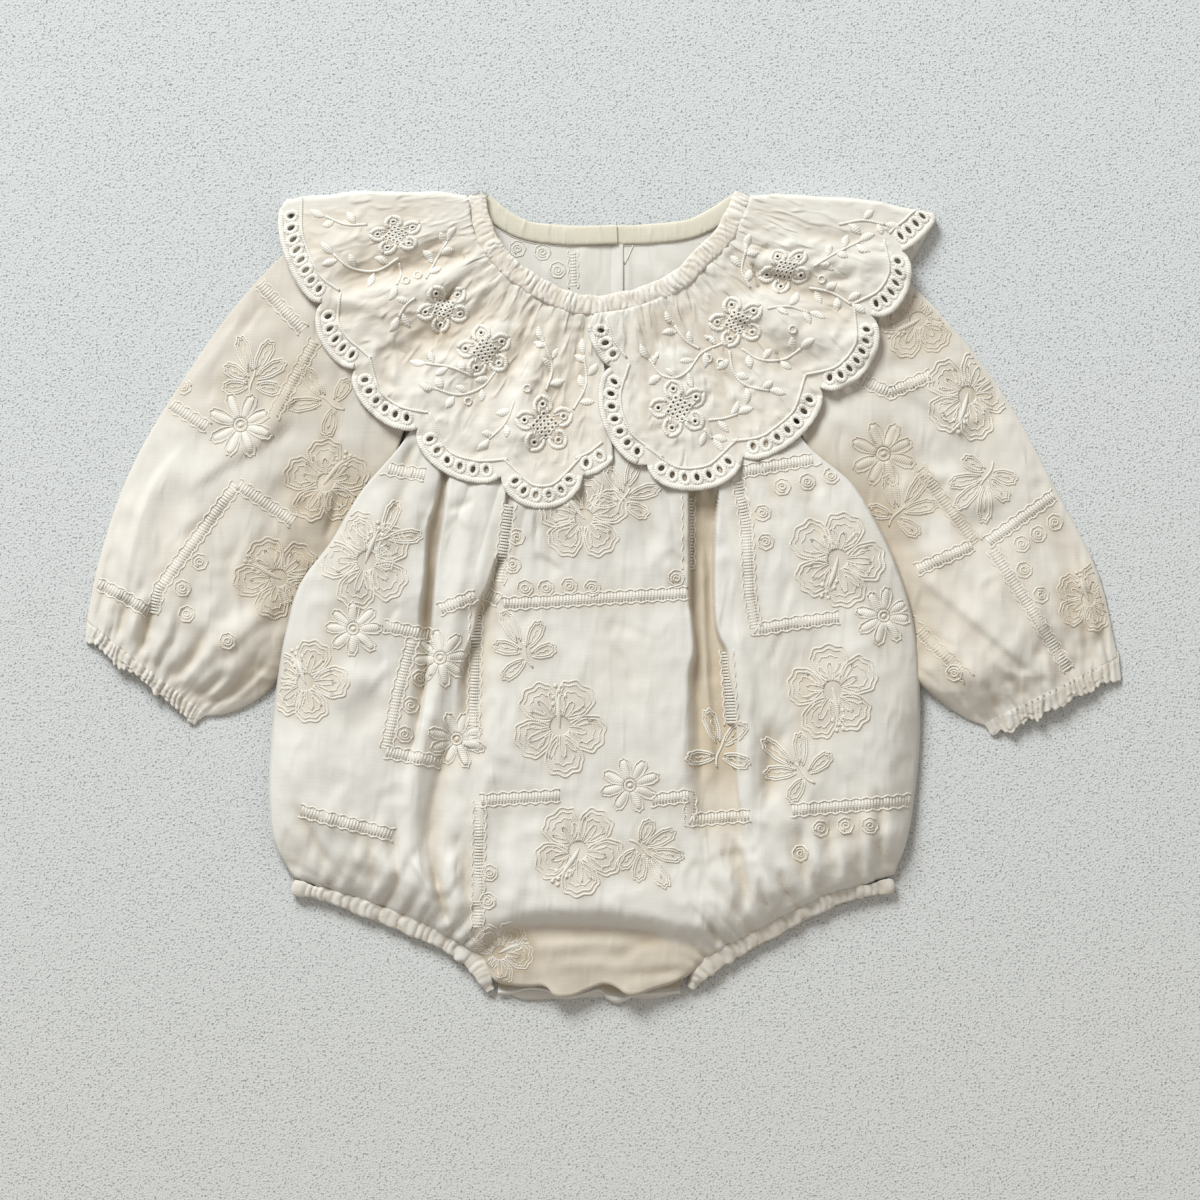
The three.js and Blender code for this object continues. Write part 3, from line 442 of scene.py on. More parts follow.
def insideOutline(points, outline):
    # crossing rule: a point is inside where a line to its left meets the outline an odd number of times
    x, y = points[:, 0], points[:, 1]
    odd = np.zeros(len(points), bool)
    for a, b in zip(outline, np.roll(outline, -1, 0)):
        spans = (a[1] > y) != (b[1] > y)
        odd ^= spans & (x < (b[0] - a[0]) * (y - a[1]) / (b[1] - a[1] + 1e-12) + a[0])
    return odd


def underCollar(side, x, y):
    # 1 where a collar's front covers the cloth, and 0 outside it
    table = collars[side]
    neck = np.array(table["neckFront"][::-1], float)
    shape = np.vstack(scallops(table["front"], table["turn"], 6) + [neck])
    return insideOutline(np.stack([x, y], -1), shape).astype(float)


# front panel. Its side edges have rows of (x, y, level), and a trench lies between two lines down the cloth,
# each with its own softness, with a depth that goes by y, and a strength for the painted shade laid in it
front = dict(
    neck=[(-63, 170.5), (-56.4, 161.6), (-47.6, 152.6), (-36, 144), (-20, 136.4), (-4, 132.8), (11, 135),
          (26, 139.6), (38, 146), (48.4, 155), (59, 166), (66.5, 171.5)],
    left=[(-63, 170.5, 9), (-76.5, 128, 9), (-90.5, 80, 9.8), (-115, 48.9, 10.3), (-129.7, 24.7, 10.2),
          (-143.9, 5.2, 9.3), (-150.6, -16.6, 8), (-155, -40.9, 5.6), (-158.2, -68.9, 3.4),
          (-159.1, -97.4, 3.2), (-156.3, -118.8, 3.4), (-147.5, -134.6, 4.4)],
    right=[(66.5, 171.5, 9), (79.5, 126, 9), (93.5, 76, 9.8), (118.3, 52.7, 10.3), (130, 34, 10.2),
           (141, 10, 9.3), (147.6, -13, 8), (150.6, -40, 5.6), (151, -67, 3.4), (148.6, -94, 3.2),
           (144.6, -117, 3.4), (138.6, -133.2, 4.4)],
    hem=[(-147.5, -134.6), (-130, -138.5), (-111.5, -144.6), (-96, -150.8), (-82, -156.6), (-68, -163.4),
         (-56.5, -171.5), (-47, -184.6), (-36, -186.4), (-27, -186.2), (-23, -190.6), (-15, -191),
         (-7, -187.8), (1, -185), (6, -186.4), (13, -190.6), (24, -187.6), (34.5, -184), (43, -175.6),
         (60, -164.6), (78, -154.6), (95, -145.6), (112, -138.6), (138.6, -133.2)],
    crest=[(172, 9), (105, 9.2), (75, 11), (48, 13.6), (5, 14.8), (-55, 16.2), (-120, 15.6), (-149, 15.5),
           (-162, 9.7), (-176, 8.4), (-195, 6.9)],
    rollEdge=[(-75, 15), (-60, 10), (-50, 1.5), (-30, -1.5), (-5, -1.5), (17, 0), (38, 5), (52, 8), (66, 15)],
    sideReach=21, legReach=22, legLevel=5.5, hemLevel=6.9, tuck=2.4, rows=172, columns=244, wall=0.7,
    lowest=3.1, neckGathers=(13, 1.9),
    trenches=[
        dict(
            left=[(-77.4, 56), (-80.3, 42.8), (-83.6, 32.3), (-84.6, 17.6), (-85, 9.5), (-87.2, -5.2),
                  (-88.8, -27.1), (-91.5, -44), (-94, -70), (-97, -105), (-99, -160)],
            right=[(-72.7, 56), (-74.6, 39.4), (-75.5, 32.3), (-77.9, 17.6), (-79.6, -4.3), (-80.5, -18.5),
                   (-80.8, -27.1), (-82.2, -38), (-85, -56), (-87.4, -70.8), (-90.3, -79), (-92.2, -90),
                   (-94.5, -105), (-96, -160)],
            depth=[(70, 0), (56, 5), (40, 6.4), (0, 7.4), (-45, 7), (-72, 6), (-90, 3.4), (-108, 0)],
            shadeTint=1.2, softLeft=[(20, 1.6), (-8, 3), (-30, 9), (-110, 10)],
            softRight=[(60, 1.8), (-60, 2.2), (-100, 6)]),
        dict(
            left=[(-46, 52), (-47.2, 40), (-47.7, 32.3), (-49.2, 21.4), (-52.3, 14.3), (-55.1, 4.8),
                  (-59.4, -4.3), (-62.2, -18.5), (-67, -30.9), (-69.1, -41.3), (-70.5, -55), (-72, -110)],
            right=[(-41, 52), (-42, 20), (-45, 0), (-46, -20), (-47, -50), (-50, -110)],
            depth=[(60, 0), (48, 4), (30, 5), (10, 5.6), (-20, 6), (-44, 4.6), (-70, 1.6), (-95, 0)],
            shadeTint=1.0, softLeft=[(40, 1.8), (-35, 2.4), (-50, 6), (-80, 10)],
            softRight=[(50, 5), (0, 10), (-60, 16)]),
        dict(
            left=[(40.1, 52), (40.4, 37.5), (40.4, 13.3), (40.4, -5.2), (41.3, -10.5), (42.4, -26),
                  (40, -36), (38.4, -60), (38.2, -90), (39.5, -112), (42, -135)],
            right=[(54.6, 52), (55.2, 42.3), (54, 31.4), (54, -10.9), (56, -20), (59.4, -27), (60.5, -38),
                   (62.9, -51.3), (64, -65.6), (64, -81.2), (65.6, -96.9), (67.9, -108), (71, -135)],
            depth=[(70, 0), (54, 7), (30, 9), (-10, 9), (-50, 8), (-85, 6.4), (-104, 4.2), (-122, 1.6),
                   (-136, 0)],
            shadeTint=1.3, softLeft=[(50, 1.6), (-20, 2), (-34, 4), (-60, 8), (-120, 12)],
            softRight=[(50, 1.6), (-90, 2.2), (-125, 5)]),
        dict(
            left=[(-33.2, 37.5), (-33.4, 30), (-33, 20)], right=[(-30.2, 37.5), (-30.2, 30), (-30.6, 20)],
            depth=[(40, 0), (35, 2.4), (25, 2), (18, 0)], shadeTint=1.5, softLeft=[(40, 1.4), (20, 1.6)],
            softRight=[(40, 1.6), (20, 2.4)])],
    creases=[
        (47.5, 50, 47.2, 10, 48, -20, 50, -60, 52, -100, 2.2, 3.4, 2.0),
        (79, -56, 79.5, -80, 77.5, -104, 5, 4, -3.0), (69, -40, 69.4, -80, 70, -105, 3, 3, 1.0),
        (62, -8, 66.5, -34, 68.5, -60, 5, 4, 1.2), (-12, 56, -9.6, 46, -8.4, 36, 1.8, 4.5, -1.6),
        (-89, 74, -91.6, 66, -94, 56, 1.6, 4, -2.2),
        (-62, 54, -66, 20, -72, -20, -82, -60, -91, -98, -90, -128, -80, -156, 5, 4.5, 2.6),
        (-68, -46, -76, -80, -82, -108, -80, -132, -70, -156, 6, 3.4, -2.6),
        (-52, 50, -56, 20, -63, -10, 3, 4, 0.9), (-101, 60, -97, 40, -95, 16, 4, 6, -1.4),
        (-108, 52, -104, 36, -103, 20, 5, 3, 1.0), (22, 54, 23.6, 40, 26, 20, 3, 5, -1.1),
        (30, 50, 31, 30, 31, 0, 5, 4, 0.8), (66, 58, 66, 40, 68, 20, 3.4, 5, -1.2),
        (80, 66, 82, 46, 85, 26, 3, 5, -1.0), (99, 60, 100, 40, 104, 24, 4, 5, -0.9),
        (-108, -34, -117, -43, -131, -54, 6, 9, 1.7), (-100, -46, -112, -58, -126, -66, 7, 7, -1.1),
        (-98, -104, -98.2, -125, -95.6, -153, 1.6, 6, -2.0), (-104, -100, -102, -128, -97, -150, 4, 3, 1.0),
        (-79.6, -128, -78.4, -142, -71, -160, 2.4, 1.8, -2.4),
        (-84, -138, -79.3, -143.6, -70, -142, 2, 3, -1.2), (-74, -118, -72, -134, -66, -152, 4, 4, 1.6),
        (-66, -112, -64.6, -132, -62, -158, 2.6, 4, -2.0), (-148, -96, -137, -116, -125, -135, 2, 4, -1.8),
        (-140, -92, -128, -112, -117, -136, 4, 4, 1.5), (-112, -110, -109.6, -124, -107, -142, 1.8, 4, -1.8),
        (-128, -104, -122, -120, -113, -138, 2, 3.4, -1.5),
        (-62, -150, -36, -147, -8, -147, 20, -150, 52, -158, 15, 7, 1.2),
        (-40, -170, -20, -166, 4, -165, 26, -168, 2.5, 4, 0.9), (30, -161, 12, -169, 2, -178, 3, 3, -0.7),
        (-30, -178, -8, -175, 20, -178, 2.5, 3, 0.6), (-46, -160, -34, -168, -28, -180, 3, 3, -0.8),
        (-92, -122, -84, -136, -78, -150, 3, 1.6, 1.6), (-44, -120, -40, -136, -44, -152, 3, 5, 0.9),
        (24, -128, 34, -142, 46, -152, 3, 6, 1.1), (-12, -132, -4, -142, 10, -150, 3, 5, 0.8),
        ([(-60, -171), (-52.3, -161.4), (-42.8, -158.2), (-11.4, -158.2), (17.1, -160), (38, -165),
          (51, -167.6)], 2.2, 7, -1.5),
        (8, -180.6, 24, -180, 39, -178.4, 2, 2.6, -0.8), (50, -156, 53, -162, 56, -168, 1.4, 1.8, -1.6),
        (57, -112, 64.4, -124, 67.6, -139, 66, -155, 2.4, 5, -2.6),
        (71.6, -114, 77, -132, 87, -150, 4, 5, 1.9), (74, -132, 76.5, -143, 80, -152, 1.4, 2, -1.5),
        (84, -128, 86, -138, 90, -147, 1.6, 2.2, -1.4), (93.4, -106, 94.6, -124, 96.4, -143, 2, 5, -2.2),
        (100, -104, 101.4, -122, 103, -138, 4, 3, 1.2), (107.6, -104, 108.6, -122, 113, -138, 2, 5, -2.2),
        (119, -98, 121, -116, 124, -135, 2.2, 5, -1.9), (131.6, -92, 132, -116, 132.6, -134, 2, 4, -1.9),
        (126, -100, 127, -118, 129, -133, 4, 3, 1.1), (86, -20, 94, -46, 98, -80, 10, 9, -1.2),
        (118, -20, 122, -60, 122, -92, 9, 9, 1.0), (0, 20, 6, -20, 2, -60, 12, 12, -0.8),
        (-30, -10, -36, -44, -40, -80, 9, 9, 0.9), (-125, 6, -128, -20, -134, -60, 8, 9, -1.3),
        (134, 8, 136, -30, 137, -70, 7, 7, -1.0)])
everyShare = np.linspace(0, 1, 34)
frontEdges = {key: curveThrough(front[key], everyShare)[:, :2] for key in bothSides}
front["creases"] += smallCreases(501, 90, (-145, -125), (145, 70), -1.57)


def tuckedHem():
    # the hem, moved out along its normal by the tuck where a leg casing closes over it
    share = np.linspace(0, 1, 90)
    line = curveThrough(front["hem"], share)
    beyondCrotch = ease((np.abs(line[:, 0] + 5) - 40) / 5)
    tuck = front["tuck"] * beyondCrotch * ease(share / 0.06) * ease((1 - share) / 0.06)
    return line - leftOf(np.gradient(line, axis=0)) * tuck[:, None]


frontHem = tuckedHem()
front["hem"] = frontHem


def trenchDepth(trench, x, y):
    # depth times one smooth step down past the left edge and one back up before the right edge
    fromLeft = (x - edgeAt(trench["left"], y)) / softTable(trench["softLeft"], y)
    fromRight = (edgeAt(trench["right"], y) - x) / softTable(trench["softRight"], y)
    return softTable(trench["depth"], y) * ease(fromLeft) * ease(fromRight)


legCasings = dict(
    left=[(-53.4, -188.6), (-60.2, -176), (-70.4, -167.6), (-84, -160.8), (-97.6, -155.2), (-113, -149.2),
          (-131, -143), (-145.4, -139.6)],
    right=[(41.6, -187.4), (46.2, -180.2), (62.6, -168.8), (80.6, -158.8), (97.4, -149.8), (113.4, -143.2),
           (126, -140.6), (136.4, -138.6)],
    width=7.8, depth=1.15, wall=0.4, sides=24, slope=0.17, fine=(4.1, 1.5), broad=(8.3, 3.0), long=(13, 3.9),
    crotchLevel=5.6, dip=3.0, bend=1.9, frontLevel=4.5, backLevel=1.35)


def legRidges(x, y):
    # gathers of the elastic, alike on the casing and on the cloth above it, where the fine ones fade first
    total = np.zeros(x.shape)
    for side, seed in (("left", 45), ("right", 57)):
        line = evenCurve(legCasings[side], 4.0)
        away, share = nearestOn(line, x, y)
        away = np.abs(away)
        near = (away < 55) & (share > 0.002)
        run = share * lengthOf(line) + 0.2 * away
        run = run + 1.3 * cloud(run, away, 5.5, seed + 5) * fade(away, 12)
        above = np.maximum(away - 3, 0)
        fine = ridgeRow(run, legCasings["fine"], seed) * fade(above, 8)
        broad = ridgeRow(run * 0.97, legCasings["broad"], seed + 1) * fade(above, 18)
        long = ridgeRow(run * 0.94, legCasings["long"], seed + 2) * fade(away, 36) * ease(away / 5)
        total += near * (fine + broad * (0.35 + 0.65 * ease(away / 6)) + long) * ease(share / 0.05)
    return total


def sidesAt(y):
    # x of the front's left and right edges, at each y
    return [edgeAt([row[:2] for row in front[key]], y) for key in bothSides]


def frontRelief(x, y, parts=False):
    # level at the edges, then up to the crest by the two rises, less the trenches, with creases and gathers
    dSide = np.minimum(distanceTo(frontEdges["left"], x, y), distanceTo(frontEdges["right"], x, y))
    dHem = distanceTo(frontHem, x, y)
    leftX, rightX = sidesAt(y)
    across = np.clip((x - leftX) / (rightX - leftX), 0, 1)
    levels = [softTable([row[1:] for row in front[key]], y) for key in bothSides]
    hemY = np.interp(x, frontHem[:, 0], frontHem[:, 1])
    down = np.clip((133 - y) / (133 - hemY), 0, 1)
    hem = mix(front["legLevel"], front["hemLevel"], bell((x + 5) / 52, 4))
    edge = mix(mix(levels[0], levels[1], across), hem, ease((down - 0.72) / 0.28))
    full = softTable(front["crest"], y + softTable(front["rollEdge"], x) * ease((-110 - y) / 20))
    z = edge + (full - edge) * rise(dSide, front["sideReach"]) * rise(dHem, front["legReach"])
    z = z + 1.1 * (1 - fade(dSide, 2.5)) * ease((60 - y) / 30)
    inside = ease(dSide / 12) * ease(dHem / 9)
    depths = [trenchDepth(t, x, y) for t in front["trenches"]]
    depth, shadeTint = sum(depths), sum(d * t["shadeTint"] for d, t in zip(depths, front["trenches"]))
    folds = 1.25 * creaseHeight(front["creases"], x, y) * ease(dSide / 7) * ease(dHem / 4)
    onLegs = 1 - bell((x + 5) / 46, 6)
    hemGathers = legRidges(x, y) * onLegs
    turn = np.arctan2(x - 4, 235 - y) * 190
    neckGathers = ridgeRow(turn, front["neckGathers"], 8) * ease((y + 10) / 50) * ease(dSide / 14)
    rumpled = 0.62 + 0.38 * cloud(x, y, 60, 2)
    fine = (2.3 * (crumple(x, y * 0.8, 30, 3) - 0.65) + 0.8 * (crumple(x, y, 12, 4) - 0.65)) * rumpled
    fine = fine + 0.24 * cloud(x * 1.4, y * 0.7, 5.2, 4) + 0.09 * cloud(x, y, 2.6, 6)
    flap = 0.9 * np.sin(x / 5.2) * fade(dHem, 5) * (1 - onLegs)
    intoCasing = 1.3 * (1 - ease(dHem / 2.6)) * onLegs
    z = z - depth * inside - intoCasing + folds + hemGathers + neckGathers + fine * ease(dSide / 6) + flap
    z = np.maximum(z, front["lowest"] + 0.5 * cloud(x, y, 9, 12) * (z < front["lowest"] + 1))
    # the second part is painted shade: the trenches' depth by their strengths, and the valleys of the creases
    # and gathers
    return (z, shadeTint * inside - np.minimum(folds + hemGathers + neckGathers, 0) * 1.6) if parts else z


def frontSurface(x, y):
    return np.stack([x, y, frontRelief(x, y)], -1)


def coonsGrid(top, bottom, left, right, u, v):
    # each point is the two ruled nets between opposite edges added, less the net of the four corners
    t, b = curveThrough(top, u)[None, :, :2], curveThrough(bottom, u)[None, :, :2]
    s, e = curveThrough(left, v)[:, None, :2], curveThrough(right, v)[:, None, :2]
    u, v = u[None, :, None], v[:, None, None]
    corners = mix(mix(t[:, :1], t[:, -1:], u), mix(b[:, :1], b[:, -1:], u), v)
    return mix(t, b, v) + mix(s, e, u) - corners


def makeFront():
    # columns of points crowd together over the trenches
    u = np.linspace(0, 1, 600)
    crowd = 1 + 1.3 * bell((u - 0.23) / 0.085, 4) + 1.3 * bell((u - 0.70) / 0.06, 4)
    run = np.r_[0, np.cumsum((crowd[1:] + crowd[:-1]) / 2)]
    u = np.interp(np.linspace(0, 1, front["columns"]), run / run[-1], u)
    v = np.linspace(0, 1, front["rows"])
    plan = coonsGrid(front["neck"], front["hem"], front["left"], front["right"], u, v)
    x, y = plan[..., 0].ravel(), plan[..., 1].ravel()
    z, fold = frontRelief(x, y, parts=True)
    piece = putMesh("bodyFront", np.stack([x, y, z], -1), gridQuads(front["rows"], front["columns"]))
    # painted shade: tan in the trenches and valleys, below the roll over the crotch, and under the collars
    # where the cloth only shows through the eyelets
    shadeBelowRoll = 0.62 * ease((-157 - y - softTable(front["rollEdge"], x)) / 7) * bell(x / 56, 6)
    shadeUnderCollar = 0.85 * np.maximum(underCollar("left", x, y), underCollar("right", x, y))
    addFloats(piece, "fold", np.maximum(np.clip(fold / 9, 0, 1) * 0.85 + shadeBelowRoll, shadeUnderCollar))
    # painted grey shade over the yoke and on the front's left side
    yokeShade = 0.10 * bell((y - 40) / 26) * bell(x / 60, 4)
    addFloats(piece, "paintedGreyShade", yokeShade + 0.07 * ease((-60 - x) / 30) * ease((y + 60) / 60))
    giveWall(piece, front["wall"])
    settle(piece, bodyCotton, "embroidered_cotton", "body_front")
    return piece


bodyFront = makeFront()
print("front panel made")

back = dict(
    left=dict(
        neck=[(-60, 184), (-54, 181.6), (-46, 176.4), (-36, 171.6), (-18, 169.4), (9.35, 169.6)],
        side=[(-60, 184), (-91, 88), (-121.4, -8), (-125.5, -16), (-136, -24), (-147, -35), (-155, -48),
              (-158.2, -70), (-159.1, -97.4), (-156.3, -118.8), (-147, -133.8)],
        hem=[(-147, -133.8), (-130, -137.8), (-111, -143.9), (-82, -155.9), (-66, -163.9), (-55.4, -171.8),
             (-48, -187), (-40, -192.4), (-24, -192.6), (4.55, -191.6)]),
    right=dict(
        neck=[(66, 184), (58, 181.2), (50, 176.2), (40, 172), (22, 170), (9.65, 169.6)],
        side=[(66, 184), (91, 86), (116.9, -8), (121, -18), (131.5, -28), (142, -38), (149, -52), (151, -72),
              (148.6, -94), (144.6, -117), (138.2, -132.6)],
        hem=[(138.2, -132.6), (112, -137.9), (95, -144.8), (78, -153.8), (60, -163.8), (43, -174.4),
             (36, -186.8), (30, -191.6), (20, -192.6), (4.85, -191.6)]),
    creases=[(14, 162, 24, 153, 38, 146, 5, 4, 1.2), (-8, 168, -10, 157, -6, 146, 4, 3, 0.9),
             (24, 168, 34, 160, 46, 156, 3, 4, 0.7), (-30, 160, -24, 152, -20, 146, 3, 4, 0.6),
             (8, 168, 12.5, 158, 12, 140, 1.2, 1.6, 0.5)],
    rows=100, columns=56, wall=0.8, top=1.15, collarUnder=1.5)


def liftOverCollar(x, y):
    # how far the lower layers are raised, in an oval round the neck, where the collars' backs lie under them
    share = np.hypot((x - 4) / 160, (y - 168) / 96)
    return back["collarUnder"] * (1 - ease((share - 1.12) / 0.3))


def backLevel(x, y):
    # level of the back panels' inner face: raised over the collars, with low soft wrinkles
    wrinkles = 0.14 * cloud(x * 1.5, y * 0.6, 12, 21) + 0.07 * cloud(x, y, 5, 22)
    shown = np.exp(-(((x - 4) / 60) ** 4) - (((y - 158) / 22) ** 4))
    folds = creaseHeight(back["creases"], x, y)
    return back["top"] + liftOverCollar(x, y) + wrinkles + folds * shown


def makeBack(side):
    table = back[side]
    plan = coonsGrid(table["neck"], table["hem"], table["side"], [table["neck"][-1], table["hem"][-1]],
                     np.linspace(0, 1, back["columns"]), np.linspace(0, 1, back["rows"]))
    x, y = plan[..., 0].ravel(), plan[..., 1].ravel()
    quads = gridQuads(back["rows"], back["columns"])
    quads = quads if side == "left" else quads[:, ::-1]
    piece = putMesh("bodyBack" + side.capitalize(), np.stack([x, y, backLevel(x, y)], -1), quads)
    # a slight even amount of the painted shade tone over the back panels
    addFloats(piece, "fold", 0.06 + 0 * x)
    giveWall(piece, back["wall"])
    settle(piece, bodyCotton, "embroidered_cotton", "body_back_" + side)


for side in bothSides:
    makeBack(side)
print("back panels made")

# sleeves and cuffs: flattened rings between a shoulder fold and an underarm fold
# in each sleeve's table, shade and shoulder are amounts of painted shade
sleeves = dict(
    left=dict(
        outer=[(-64, 172), (-98, 183), (-135, 175), (-168, 146), (-198.5, 105), (-226, 58), (-241.4, 12),
               (-246.2, -13.4)],
        inner=[(-122.5, -7), (-134, -17), (-145, -29), (-155.4, -42), (-164, -49.4), (-172.4, -54),
               (-181, -57), (-189.6, -57.6)],
        creases=[
            (-197.4, 72.9, -213.6, 52.3, -222.4, 28.7, -226.4, 8, -227, -12, 9, 2.0, 2.6),
            (-144, 89, -162, 74.3, -182.7, 61.1, -203.3, 46.4, 2.6, 9, 1.9),
            (-148.8, 100.8, -155, 90, -161, 77, 5, 2.4, 1.3), (-172, 50, -190, 34, -206, 20, 5, 3, -0.9),
            (-150, -2, -166, -14, -184, -32, 2.4, 6, 1.5), (-158, -30, -170, -42, -184, -52, 2, 4, -1.6),
            (-200, 60, -208, 40, -213, 18, -216, -4, 6, 8, -1.2),
            (-214, 0, -216.5, -14, -220, -30, 3, 2.4, -2.4), (-226, 2, -228, -10, -230, -22, 3, 3, -1.8),
            (-220, 4, -222, -10, -224.6, -24, 2.6, 2.6, 1.5), (-206, -8, -209, -22, -214, -34, 4, 3, 1.4),
            (-188.6, -12, -191.4, -24, -199, -35, -209, -44, 3, 4, -2.7),
            (-178, -12, -184, -24, -196, -38, -205, -46, 4, 4, 1.6),
            (-176, -35, -186, -43, -198, -53, 2.6, 3, -2.3), (-170, -30, -182, -39, -192, -46, 4, 4, 1.2),
            (-180, -48, -188, -51, -196, -57, 2, 2.4, -1.4), (-176, -8, -168, -20, -163, -34, 7, 8, 1.8),
            (-152, 60, -146, 36, -146, 8, 8, 10, -1.7), (-118, 60, -130, 30, -140, 0, 8, 8, -1.4),
            (-160, 130, -150, 112, -142, 86, 5, 8, -1.1), (-176, 128, -166, 104, -160, 84, 8, 6, 0.9),
            (-186, 110, -180, 90, -178, 66, 7, 7, -0.9), (-148, 148, -132, 118, -120, 90, 6, 8, 1.2)],
        cuffOuter=[(-246.4, -13.8), (-246.6, -20.6)], cuffInner=[(-190, -58), (-195.6, -61)], seed=31,
        lean=0.95, shade=0.16, shoulder=0.12),
    right=dict(
        outer=[(68, 172), (103, 179), (137, 157), (172, 121), (195, 89), (216, 50), (236, 10), (245.8, -31)],
        inner=[(118, -7), (129, -19), (140, -31), (151, -43), (160, -50), (169, -56.4), (175.6, -60),
               (182, -62.2)],
        creases=[
            (128, 101, 146, 97, 165, 83, 176, 70, 9, 3, 1.9), (150, 60, 170, 52, 192, 40, 3, 8, 1.3),
            (138, 13, 146, 11, 163, -2, 181, -17, 196, -29.4, 216, -42, 6, 1.2, 1.5),
            (138, 10, 146, 7, 162, -6, 180, -21, 194, -33, 212, -45, 5, 12, -0.8),
            (180, 30, 200, 4, 220, -26, 9, 9, 0.9), (208, 50, 222, 20, 234, -16, 7, 7, -1.3),
            (222, 24, 230, 0, 238, -26, 4, 4, 1.2), (238, 0, 239, -16, 241, -34, 2.4, 2.4, -1.7),
            (229, -10, 231, -24, 233, -36, 2.4, 2.6, -1.8), (217, -20, 220, -32, 224, -42, 2.4, 2.4, -1.8),
            (205, -22, 209, -36, 212, -47, 2.2, 3, -1.6), (192, -36, 197, -44, 202, -52, 2, 2.4, -1.6),
            (180, -40, 186, -50, 190, -58, 2.2, 2.6, -1.5), (170, -30, 178, -42, 184, -54, 4, 4, 1.2),
            (120, 60, 136, 32, 150, 4, 7, 9, -1.5), (130, 90, 146, 66, 158, 44, 8, 8, -1.0),
            (150, 120, 162, 92, 170, 62, 7, 8, 1.0), (176, 104, 182, 80, 188, 56, 7, 7, -0.9),
            (150, 30, 170, 12, 190, -6, 8, 8, 1.0)],
        cuffOuter=[(246.1, -31.4), (246.9, -39)], cuffInner=[(182.4, -62.6), (186, -68)], seed=61, lean=0.6,
        shade=0.2, shoulder=0.0),
    crown=[(0, 5.7), (0.14, 5.8), (0.29, 6.4), (0.43, 8.5), (0.57, 12), (0.72, 12.5), (0.86, 10), (1, 5.6)],
    wall=0.6, rows=128, upper=104, lower=36, base=1.2, cuffWall=0.5, cuffRows=22, cuffUpper=200,
    cuffLower=70, cuffCrown=5.6, cuffTop=7.8, fine=(3.1, 1.5), broad=(6.2, 2.2), long=(12, 2.9))


def cuffRidges(table, x, y):
    # gathers of the elastic, alike on the cuff and on the end of its sleeve: run goes along the seam between
    # them, and past is the distance beyond it, below nought up the sleeve, where the fine ones fade first
    start, end = np.array(table["cuffInner"][0]), np.array(table["cuffOuter"][0])
    way = (end - start) / np.linalg.norm(end - start)
    down = np.array([way[1], -way[0]])
    down = down * np.sign(down @ (np.array(table["cuffOuter"][1]) - end))
    half, seed = 35, table["seed"]
    run = (x - start[0]) * way[0] + (y - start[1]) * way[1] - half
    past = (x - start[0]) * down[0] + (y - start[1]) * down[1]
    above = np.maximum(-past, 0)
    along = run / (1 + 0.008 * above) + half + 0.2 * past
    along = along + 1.2 * cloud(run, past, 7, seed + 8)
    fine = ridgeRow(along, sleeves["fine"], seed + 5) * fade(above, 6)
    broad = ridgeRow(along * 0.96, sleeves["broad"], seed) * np.exp(-above / 20 - np.maximum(past, 0) / 7)
    long = ridgeRow(along * 0.93, sleeves["long"], seed + 1) * fade(above, 40) * ease(above / 8)
    return fine + broad + long


def sleeveLevel(table, x, y):
    # half-sine to the power 0.7 between the two folds, leaning to one, times the crown by the share along
    outer, inner = curveThrough(table["outer"], everyShare), curveThrough(table["inner"], everyShare)
    dOuter, dInner = distanceTo(outer, x, y), distanceTo(inner, x, y)
    dTop = distanceTo(np.array([outer[0], inner[0]]), x, y)
    dCuff = distanceTo(np.array([outer[-1], inner[-1]]), x, y)
    share, along = dInner / (dInner + dOuter + 1e-6), dTop / (dTop + dCuff + 1e-6)
    crown = softTable(sleeves["crown"], along)
    lean = mix(1.0, table["lean"], ease(dCuff / 30))
    puff = np.sin(math.pi * np.clip(share, 0, 1) ** lean) ** 0.7
    inside = ease(np.minimum(dOuter, dInner) / 6)
    folds = 1.2 * creaseHeight(table["creases"], x, y)
    pull = cuffRidges(table, x, y)
    seed = table["seed"]
    fine = 1.3 * (crumple(x, y, 24, seed + 2) - 0.65) + 0.6 * (crumple(x, y, 11, seed + 3) - 0.65)
    fine = fine + 0.2 * cloud(x, y, 5.6, seed + 4)
    low = liftOverCollar(x, y) + sleeves["base"]
    z = low + crown * puff + (folds * ease(dCuff / 8) + pull + fine * ease(dCuff / 12)) * inside
    # the second value, the depth of the valleys of the creases and gathers, becomes painted shade
    return np.maximum(z, low), np.clip(-(folds + pull) * inside, 0, None)


